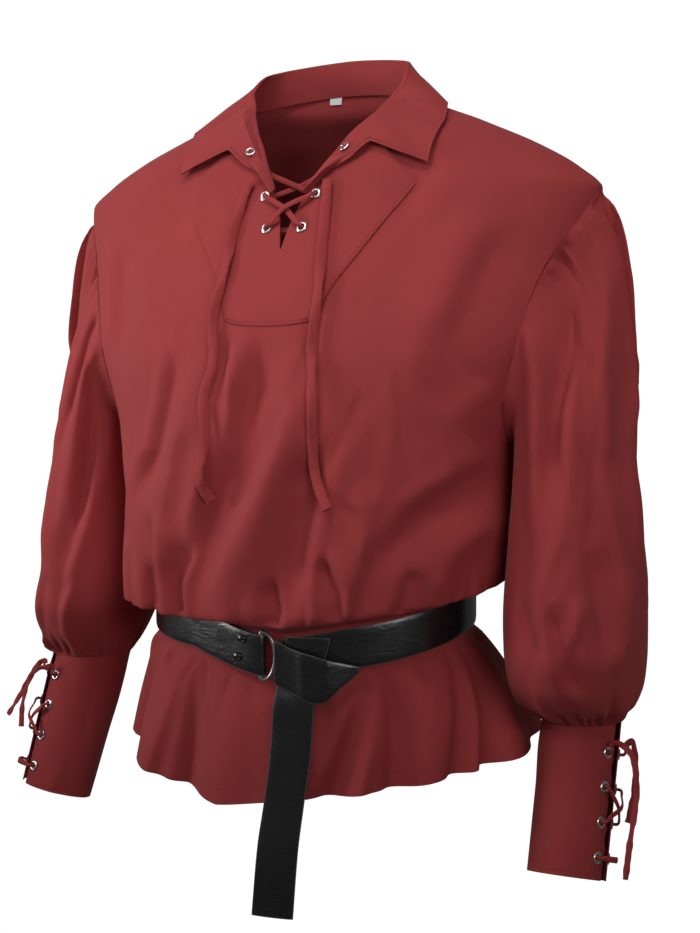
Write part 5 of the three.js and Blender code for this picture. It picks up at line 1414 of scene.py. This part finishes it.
class SHIRT_OT_facing(bpy.types.Operator):
    """Makes the pointed facing sewn round the neck opening"""

    bl_idname = "shirt.facing"
    bl_label = "Neck facing"

    def execute(self, context):
        row = FACING.read(np.linspace(0, FACING.places[-1], FACING_COLUMNS))
        t = np.linspace(0, 1, FACING_ROWS)[:, None]
        x = row.topX + (row.endX - row.topX) * t
        z = row.topZ + (row.endZ - row.topZ) * t
        x = np.hstack([-x[:, ::-1], x])
        z = np.hstack([z[:, ::-1], z])
        along_edge = run_lengths(on_front(x[-1:], z[-1:]), 1)[0]
        edge = (1 - t) * np.hypot(row.endX - row.topX, row.endZ - row.topZ).max()
        lift = FACING_LIFT - FACING_PRESS * (1 - smooth(edge / FACING_PRESS_OVER))
        grid = on_front(x, z, lift + 0 * x)
        gap = run_lengths(grid[::-1], 0)[::-1] - STITCH_IN["facing"]
        values = stitch_line(gap, along_edge + 0 * gap)
        make_cloth(context, "facing", grid, values)
        return {"FINISHED"}


class SHIRT_OT_collar(bpy.types.Operator):
    """Makes the spread collar folded open at the neck"""

    bl_idname = "shirt.collar"
    bl_label = "Collar"

    def execute(self, context):
        grid = collar_grid()
        edge = run_lengths(grid[::-1], 0)[::-1]
        values = stitch_line(edge - STITCH_IN["collar"], run_lengths(grid, 1))
        make_cloth(context, "collar", grid, values, turn=-1)
        return {"FINISHED"}


def collar_lines(steps):
    """Seam, fold line, outer edge and ease of the collar, all round from side to side."""
    data = np.array(COLLAR, float)
    seam = np.array(COLLAR_SEAM, float)
    bearing = bearing_at(seam[:, 0], seam[:, 1])
    base = body_point(np.where(seam[:, 2] > 0, 180 - bearing, bearing), seam[:, 1])
    rows = np.hstack([base, data[:, :3], data[:, 3:6], data[:, 6:]])
    flip = rows.copy()
    flip[:, [0, 3, 6]] *= -1
    full = np.vstack([flip[:0:-1], rows])
    soft = spread(full.T, steps).T
    marks = np.arange(len(full))
    fine = np.linspace(0, marks[-1], steps)
    straight = np.column_stack([np.interp(fine, marks, full[:, k]) for k in range(full.shape[1])])
    edge = EDGE_SOFTNESS * soft[:, 6:9] + (1 - EDGE_SOFTNESS) * straight[:, 6:9]
    return soft[:, :3], soft[:, 3:6], edge, soft[:, 9]


def collar_grid():
    """Rows of the collar: up its stand, over the fold and down its fall."""
    base, fold, edge, ease = collar_lines(COLLAR_COLUMNS)
    out = unit((edge - base) * (1, 1, 0))
    behind = smooth(base[:, 1:2] / 12)
    base = base - out * (COLLAR_INSET + STAND_IN * behind)
    base = base + (0, 0, 1) * (COLLAR_RISE - STAND_DROP * behind)
    rows = []
    for t in np.linspace(0, 1, STAND_ROWS, endpoint=False):
        bow = STAND_BOW * np.sin(np.pi * t)
        rows.append(base + (fold - out * FOLD_RADIUS - (0, 0, FOLD_RADIUS) - base) * t - out * bow)
    centre = fold - (0, 0, FOLD_RADIUS)
    for w in np.linspace(0, np.pi, TURN_ROWS):
        ring = out * (-FOLD_RADIUS * np.cos(w)) + np.array((0, 0, FOLD_RADIUS * np.sin(w)))
        rows.append(centre + ring + out * (FOLD_RADIUS * w / np.pi))
    start = rows[-1]
    behind = smooth((fold[:, 1:2] + 20) / 30)
    bulge = FALL_BULGE + (FALL_BULGE_BACK - FALL_BULGE) * behind
    for t in np.linspace(0, 1, FALL_ROWS)[1:]:
        p = start + (edge - start) * t + out * bulge * np.sin(np.pi * t)
        rows.append(clear_of_front(p, ease))
    return np.array(rows)


def clear_of_front(p, ease):
    """Keeps the collar's fall off the shirt below it."""
    surface = on_front(p[:, 0], np.minimum(p[:, 2], 0))[:, 1]
    weight = smooth((-12 - p[:, 1]) / 14) * smooth((3 - p[:, 2]) / 8)
    moved = np.minimum(p[:, 1], surface - ease)
    out = p.copy()
    out[:, 1] = p[:, 1] + (moved - p[:, 1]) * weight
    return out


class SHIRT_OT_sleeves(bpy.types.Operator):
    """Makes both full sleeves with their gathered heads and cuff seams"""

    bl_idname = "shirt.sleeves"
    bl_label = "Sleeves"

    def execute(self, context):
        arms = (("left", SLEEVE_LEFT_ARM, 1, LEFT_ARM_FOLDS),
                ("right", SLEEVE_RIGHT_ARM, -1, RIGHT_ARM_FOLDS))
        for name, table, side, folds in arms:
            grid = sleeve_grid(table, side, folds)
            away = run_lengths(grid, 0)
            values = stitch_line(away - STITCH_IN["sleeve"], away)
            make_cloth(context, f"sleeve_{name}_arm", grid, values,
                       ringed=True, turn=-side)
        return {"FINISHED"}


def armhole_stations(count):
    """Points of the armhole edge all round, with the way the seam runs and leaves."""
    share = (1 - np.cos(np.pi * np.arange(count) / count)) / 2
    halves = []
    for back in (False, True):
        along = np.concatenate([share, [1.0]])
        z = SHOULDER_TIP + (UNDERARM - SHOULDER_TIP) * along
        end = panel_end(z, back)
        p = body_point(180 - end if back else end, z)
        seam = unit(np.gradient(p, axis=0))
        place = armhole_bearing(along, back)
        here = body_point(180 - place if back else place, z)
        there = body_point(180 - place - 4 if back else place + 4, z)
        onward = unit(there - here)
        turn = 360 - along * 180 if back else along * 180
        halves.append((along, p, seam, onward, turn))
    front = [v[:-1] for v in halves[0]]
    rear = [v[:0:-1] for v in halves[1]]
    return [np.concatenate(pair) for pair in zip(front, rear)]


def clear_of_body(p, side):
    """Keeps a sleeve's points outside the body below the armhole."""
    row = BODY.read(np.maximum(p[..., 2], -470))
    dy = np.clip(np.abs(p[..., 1] - row.mid) / row.b, 0, 1)
    limit = row.a * (1 - dy ** row.full) ** (1 / row.full) + SLEEVE_EASE
    inside = (p[..., 2] <= UNDERARM) & (p[..., 2] >= -500) & (np.abs(p[..., 0]) < limit)
    out = p.copy()
    out[..., 0] = np.where(inside, side * limit, p[..., 0])
    return out


def sleeve_grid(table, side, folds):
    along, p, seam, onward, turn = armhole_stations(SLEEVE_COLUMNS)
    shape = np.array((side, 1, 1))
    w = np.radians(turn)
    top_way, low_way = np.array(HEAD_LEAVE_TOP[side]), np.array(HEAD_LEAVE_LOW)
    low = smooth((along - LEAVE_CHANGE) / LEAVE_CHANGE_OVER)
    leave = blended(top_way + 0 * p, low_way + 0 * p, low)
    leave = blended(leave, onward, HEAD_TURN * np.abs(np.sin(w)))
    square = smooth(along / SEAM_TIP) * smooth((1 - along) / SEAM_TIP)
    leave = unit(leave - seam * (np.sum(leave * seam, -1) * square)[:, None])
    start = (p + leave * SEAM_OFF) * shape
    leave = leave * shape
    first_level = float(table.places[-1])
    row = table.read(first_level)
    q = np.stack([row.x + row.a * np.cos(w), row.y - row.b * np.sin(w), first_level + 0 * w], -1)
    q = clear_of_body(q * shape, side)
    length = np.linalg.norm(start - q, axis=-1)[:, None] * HEAD_PUFF[side]
    first, second = start + leave * length, q + (0, 0, 1) * length
    head = []
    for t in np.linspace(0, 1, HEAD_ROWS) ** 1.15:
        s = 1 - t
        head.append(s ** 3 * start + 3 * s * s * t * first + 3 * s * t * t * second + t ** 3 * q)
    last_level = float(table.places[0])
    drop = np.linspace(0, 1, ARM_ROWS)[1:] ** 0.8
    levels = first_level + (last_level - first_level) * drop
    body = []
    for z in levels:
        row = table.read(z)
        ring = np.stack([row.x + row.a * np.cos(w), row.y - row.b * np.sin(w), z + 0 * w], -1)
        body.append(clear_of_body(ring * shape, side))
    return crease_sleeve(np.array(head + body), turn, side, folds)


def crease_sleeve(grid, turn, side, folds):
    """Pushes a sleeve's points out and in by its folds and by the pleats at both ends."""
    around = ((turn + 180) % 360 - 180) + 0 * grid[..., 2]
    z = grid[..., 2]
    lines = [([(t * SLEEVE_DEGREE, h) for t, h in line], wide, high) for line, wide, high in folds]
    lines += small_creases(30 + side, 30, (-130, 170), (-170, -480), 7, 2.6)
    push = fold_height(lines, around * SLEEVE_DEGREE, z)
    down = run_lengths(grid, 0)
    at_top = smooth((np.cos(np.radians(around)) - 0.05) / 0.65)
    push = push * smooth(down / HEAD_CALM)
    push += HEAD_PLEATS.height(turn + 0 * z, down, 0.3, 8) * at_top
    up = down[-1] - down
    push += CUFF_PLEATS.height(turn + 0 * z, up, 0.35, 9)
    push *= smooth(down / HEAD_SEAM) * smooth(up / CUFF_SEAM + CUFF_SEAM_LEFT)
    centre = grid.mean(axis=1, keepdims=True)
    out = unit((grid - centre) * (1, 1, 0))
    inner = smooth((-np.cos(np.radians(around)) - 0.2) / 0.4)
    loss = np.where(push < 0, INNER_HOLLOW_LOSS, INNER_RIDGE_LOSS)
    push = push * (1 - loss * inner)
    moved = grid + out * push[..., None]
    kept = clear_of_body(moved, side)
    kept[0] = grid[0]
    return kept


class SHIRT_OT_cuffs(bpy.types.Operator):
    """Makes the long laced cuffs"""

    bl_idname = "shirt.cuffs"
    bl_label = "Cuffs"

    def execute(self, context):
        for name, cuff in CUFFS.items():
            span = 360 - 2 * SLIT_HALF
            t = np.linspace(0, 1, CUFF_COLUMNS)
            turn = cuff.slit + SLIT_HALF + span * t
            share = np.linspace(0, 1, CUFF_ROWS)[:, None]
            calm = smooth(t / CUFF_CALM) * smooth((1 - t) / CUFF_CALM)
            lift = cuff_creases(turn, share, cuff.seed) * calm
            grid = cuff_point(cuff, turn, share, lift)
            length = run_lengths(grid, 0)
            low = length[-1] - length
            edge = np.minimum(low, np.minimum(t, 1 - t) * span * math.radians(cuff.r1))
            values = stitch_line(edge - STITCH_IN["cuff"], length + run_lengths(grid, 1))
            make_cloth(context, f"cuff_{name}_arm", grid, values,
                       turn=-cuff.side)
        return {"FINISHED"}


def cuff_creases(turn, share, seed):
    """Shallow slanting creases and a slight flattening of the cuff."""
    rng = np.random.default_rng(seed)
    flattening = CUFF_FLATTENING * np.cos(2 * np.radians(turn - CUFF_FLAT_AT))
    total = flattening * smooth(share * 3) + 0 * share
    for _ in range(CUFF_CREASES):
        at, where = rng.uniform(0, 360), rng.uniform(0.05, 0.95)
        slope, high = rng.uniform(-60, 60), rng.uniform(0.5, 1.5) * rng.choice([-1, 1])
        apart = (turn - at - slope * (share - where) + 540) % 360 - 180
        reach = np.exp(-(((share - where) / rng.uniform(0.12, 0.3)) ** 2))
        total = total + high * np.exp(-((apart / rng.uniform(7, 15)) ** 2)) * reach
    return total * smooth(share / 0.06 + 0.2)


class SHIRT_OT_eyelets(bpy.types.Operator):
    """Makes the metal eyelets of the neck, collar and cuffs"""

    bl_idname = "shirt.eyelets"
    bl_label = "Eyelets"

    def execute(self, context):
        settings = context.scene.shirt_fittings
        finish = metal_finish("Polished eyelet", tuple(settings.eyelet_colour), 0.16, 320)
        for level in NECK_EYELETS:
            for side, name in ((1, "left"), (-1, "right")):
                label = f"neck_eyelet_{level}_{name}"
                make_eyelet(label, *neck_place(level, side), settings, "neck", finish)
        for name, cuff in CUFFS.items():
            for lane, word in ((1, "fore"), (-1, "rear")):
                for k in range(len(CUFF_EYELET_SHARES)):
                    label = f"cuff_eyelet_{name}_arm_{word}_{k + 1}"
                    make_eyelet(label, *cuff_place(cuff, lane, k), settings, "cuff", finish)
        for name in ("left", "right"):
            label = f"collar_eyelet_{name}"
            place, normal = cad_disc(label)
            place = place - normal * COLLAR_EYELET_SINK
            make_eyelet(label, place, normal, settings, "collar", finish)
        return {"FINISHED"}


def cad_disc(node):
    """Middle and facing of a flat round CAD fitting."""
    points = np.array([v.co for v in bpy.data.objects[node].data.vertices]) / MM
    middle = points.mean(axis=0)
    _, _, ways = np.linalg.svd(points - middle)
    normal = ways[-1] if ways[-1][1] < 0 else -ways[-1]
    return middle, normal


def make_eyelet(name, place, normal, settings, seat, finish):
    """A turned eyelet: a short barrel with a rounded rim."""
    hole, flange = settings.eyelet_hole / MM, settings.eyelet_flange / MM
    lift, depth = EYELET_SEATS[seat]
    wall, plate = EYELET_WALL, EYELET_PLATE
    profile = [(hole, -depth), (hole + wall, -depth), (hole + wall, lift), (flange, lift),
               (flange + 0.1, lift + 0.25 * plate), (flange - 0.5, lift + 0.8 * plate),
               (flange - 1.3, lift + plate), (hole + 0.7, lift + 0.75 * plate),
               (hole + 0.1, lift + 0.2 * plate), (hole, -depth)]
    piece = lathe_mesh(name, profile, place, normal)
    place_piece(piece, finish, name)


class SHIRT_OT_label(bpy.types.Operator):
    """Makes the small bare tape inside the back of the neck"""

    bl_idname = "shirt.label"
    bl_label = "Neck tape"

    def execute(self, context):
        x = np.linspace(LABEL.x - LABEL.wide / 2, LABEL.x + LABEL.wide / 2, 16)
        z = np.linspace(LABEL.z, LABEL.z - LABEL.high, 12)[:, None]
        grid = body_point(180 - bearing_at(x + 0 * z, z + 0 * x), z + 0 * x, -LABEL.inside)
        finish = woven_finish("Woven tape", (0.94, 0.93, 0.91, 1.0), 0.0006, stitched=False)
        piece = wall_mesh("neck_label", grid, LABEL.thick, False, -1)
        place_piece(piece, finish, "neck_label")
        return {"FINISHED"}


class SHIRT_OT_belt(bpy.types.Operator):
    """Makes the leather strap, its front loop and its hanging tail"""

    bl_idname = "shirt.belt"
    bl_label = "Belt"

    def execute(self, context):
        settings = context.scene.shirt_belt
        finish = leather_finish(tuple(settings.colour))
        thick, half = settings.thickness / MM, settings.width / MM / 2
        make_strap("belt_band", *band_ribbons(thick, half), finish)
        make_strap("belt_tail", *tail_ribbons(thick), finish)
        make_strap("belt_loop", *loop_ribbons(thick), finish)
        return {"FINISHED"}


def waist_ring():
    """Bearings round the waist, the run of the belt to each from the front, and its length."""
    bearing = np.linspace(-180, 180, 7201)
    p = body_point(bearing, WAIST_LEVEL)
    step = np.linalg.norm(np.diff(p[:, :2], axis=0), axis=1)
    run = np.concatenate([[0], np.cumsum(step)])
    return bearing, run - run[len(run) // 2], run[-1]


def belt_place(run, lift, width):
    """A point of the belt: along it from the front, out from the cloth and up from its middle."""
    bearing, runs, _ = waist_ring()
    place = np.interp(run, runs, bearing)
    return body_point(place, WAIST_LEVEL + width, lift, creased=False)


def make_strap(name, outer, inner, finish):
    """A strap between two ribbons of points, with rounded long edges."""
    rows, across = outer.shape[:2]
    middle = (outer + inner) / 2
    pull = (1 - np.abs(np.linspace(-1, 1, across)) ** 10 * 0.45)[None, :, None]
    outer = middle + (outer - middle) * pull
    inner = middle + (inner - middle) * pull
    side = np.minimum(run_lengths(outer, 1), run_lengths(outer[:, ::-1], 1)[:, ::-1])
    down = run_lengths(outer, 0)
    edge = np.minimum(side, np.minimum(down, down[-1] - down))
    points = np.vstack([outer.reshape(-1, 3), inner.reshape(-1, 3)])
    faces = wall_faces(rows, across, False)
    piece = mesh_object(name, points, faces, doubled({"cut_edge": edge}), crease_angle=52)
    orient_outward(piece)
    place_piece(piece, finish, name)


def orient_outward(piece):
    work = bmesh.new()
    work.from_mesh(piece.data)
    bmesh.ops.recalc_face_normals(work, faces=work.faces)
    work.to_mesh(piece.data)
    work.free()


def band_ribbons(thick, half):
    """The strap round the waist, its start folded back round the ring's bar."""
    flat = STRAP_EASE + thick / 2
    total = waist_ring()[2]
    wrap = RING.wire + RING.gap + thick / 2
    centre = [(run, flat) for run in STRAP_START]
    for w in np.radians(np.linspace(-90, 90, 17)):
        centre.append((RING.bar + wrap * math.cos(w), RING_LIFT + wrap * math.sin(w)))
    centre += STRAP_BACK
    rest = np.linspace(0, total - STRAP_END_GAP, STRAP_STEPS + 1)
    centre += [(-STRAP_ROUND - run, flat) for run in rest]
    centre = np.array(centre)
    run, lift = centre.T
    way = unit(np.gradient(centre, axis=0))
    width = np.linspace(half, -half, STRAP_COLUMNS)
    ribbons = []
    for sign in (1, -1):
        r = run - sign * way[:, 1] * thick / 2
        h = lift + sign * way[:, 0] * thick / 2
        r = np.where(r < -total / 2, r + total, r)
        ribbons.append(belt_place(r[:, None], h[:, None], width[None, :]))
    return ribbons


def tail_ribbons(thick):
    """The hanging tail: its two faces from the knot to its cut end."""
    low, top = TAIL.places[[0, -1]]
    z = np.concatenate([np.linspace(top, TAIL_BREAK, 50), np.linspace(TAIL_BREAK - 4, low, 50)])
    row = TAIL.read(z)
    t = np.linspace(0, 1, 17)
    left, right = on_front_plain(row.x1, z, row.lift), on_front_plain(row.x2, z, row.lift)
    inner = left[:, None] + (right - left)[:, None] * t[None, :, None]
    wave = TAIL_WAVE.high * np.sin((z - TAIL_WAVE.start) / TAIL_WAVE.step)
    wave = wave * np.exp(-(((z - TAIL_WAVE.middle) / TAIL_WAVE.reach) ** 2))
    bow = TAIL_BOW * np.sin(np.pi * t)
    forward = np.array((TAIL_LEAN, -1, 0)) / math.hypot(TAIL_LEAN, 1)
    inner = inner + forward * (wave[:, None] * (1 - t) + bow)[..., None]
    return inner + forward * thick, inner


def loop_ribbons(thick):
    """The loop across the tail: its two faces from the ring to its tip."""
    start, end = LOOP.places[[0, -1]]
    x = np.concatenate([np.linspace(start, LOOP_FOLD, 24), np.linspace(LOOP_FOLD + 1, end, 26)])
    row = LOOP.read(x)
    top, low = on_front_plain(x, row.top, 0), on_front_plain(x, row.low, 0)
    top[:, 1] = low[:, 1] = np.minimum(top[:, 1], low[:, 1])
    t = np.linspace(0, 1, 15)
    inner = top[:, None] + (low - top)[:, None] * t[None, :, None]
    forward = np.array((LOOP_LEAN, -1, 0)) / math.hypot(LOOP_LEAN, 1)
    swell = LOOP_BOW * np.sin(np.pi * (x - start) / (end - start))[:, None] * np.ones_like(t)
    for high, place, wide, strength, more in LOOP_CREASES:
        swell += high * np.exp(-(((x - place) / wide) ** 2))[:, None] * (strength + more * t)
    inner = inner + forward * (LOOP_LIFT + swell)[..., None]
    return inner + forward * thick, inner


class SHIRT_OT_belt_fittings(bpy.types.Operator):
    """Makes the belt's ring and its two domed snaps"""

    bl_idname = "shirt.belt_fittings"
    bl_label = "Ring and snaps"

    def execute(self, context):
        settings = context.scene.shirt_fittings
        make_ring(metal_finish("Plated ring", tuple(settings.ring_colour), 0.2, 240))
        snap = metal_finish("Black snap", tuple(settings.snap_colour), 0.1, 260)
        for level in ("upper", "lower"):
            node = f"belt_snap_{level}"
            piece = lathe_mesh(node, SNAP_PROFILE, *cad_disc(node))
            place_piece(piece, snap, node)
        return {"FINISHED"}


def make_ring(finish):
    """D-shaped ring: a straight bar in the strap's fold and a round bow."""
    turn = np.radians(np.linspace(90, -90, 41))
    side, end = RING.bar + RING.corner, RING.high - RING.corner
    bow = np.column_stack([side + (RING.reach - 2 * RING.corner) * np.cos(turn),
                           RING.high * np.sin(turn)])
    corner = np.radians(np.linspace(0, 90, 7))[1:-1]
    low = np.column_stack([side - RING.corner * np.sin(corner),
                           -end - RING.corner * np.cos(corner)])
    bar = np.column_stack([np.full(15, RING.bar), np.linspace(-end, end, 15)])
    high = low[::-1] * (1, -1)
    line = np.vstack([bow, low, bar, high])
    centre = belt_place(line[:, 0], RING_LIFT, line[:, 1])
    way = np.array((0.05, -1, 0)) + 0 * centre
    wire = np.full(len(centre), float(RING.wire))
    piece = tube_mesh("belt_ring", centre, wire, wire, way, sides=16, closed=True)
    orient_outward(piece)
    place_piece(piece, finish, "belt_ring")


# ---- panel and registration ----
OPERATORS = (
    SHIRT_OT_stage,
    SHIRT_OT_laces,
    SHIRT_OT_body,
    SHIRT_OT_facing,
    SHIRT_OT_collar,
    SHIRT_OT_sleeves,
    SHIRT_OT_cuffs,
    SHIRT_OT_eyelets,
    SHIRT_OT_label,
    SHIRT_OT_belt,
    SHIRT_OT_belt_fittings,
)
SETTINGS = {
    "shirt_cloth": ClothSettings,
    "shirt_laces": LaceSettings,
    "shirt_fittings": FittingSettings,
    "shirt_belt": BeltSettings,
    "shirt_stage": StageSettings,
}


class SHIRT_PT_panel(bpy.types.Panel):
    """Lists the shirt's pieces and their settings"""

    bl_idname = "SHIRT_PT_panel"
    bl_label = "Pirate shirt"
    bl_space_type = "VIEW_3D"
    bl_region_type = "UI"
    bl_category = "Shirt"

    def draw(self, context):
        for operator in OPERATORS:
            self.layout.operator(operator.bl_idname)
        for name, group in SETTINGS.items():
            box = self.layout.box()
            for label in group.__annotations__:
                box.prop(getattr(context.scene, name), label)


def register():
    for group in SETTINGS.values():
        bpy.utils.register_class(group)
    for name, group in SETTINGS.items():
        setattr(bpy.types.Scene, name, PointerProperty(type=group))
    for operator in OPERATORS:
        bpy.utils.register_class(operator)
    bpy.utils.register_class(SHIRT_PT_panel)


def unregister():
    bpy.utils.unregister_class(SHIRT_PT_panel)
    for operator in reversed(OPERATORS):
        bpy.utils.unregister_class(operator)
    for name, group in SETTINGS.items():
        delattr(bpy.types.Scene, name)
        bpy.utils.unregister_class(group)


def main():
    register()
    for operator in OPERATORS:
        family, action = operator.bl_idname.split(".")
        getattr(getattr(bpy.ops, family), action)()


if __name__ == "__main__":
    main()
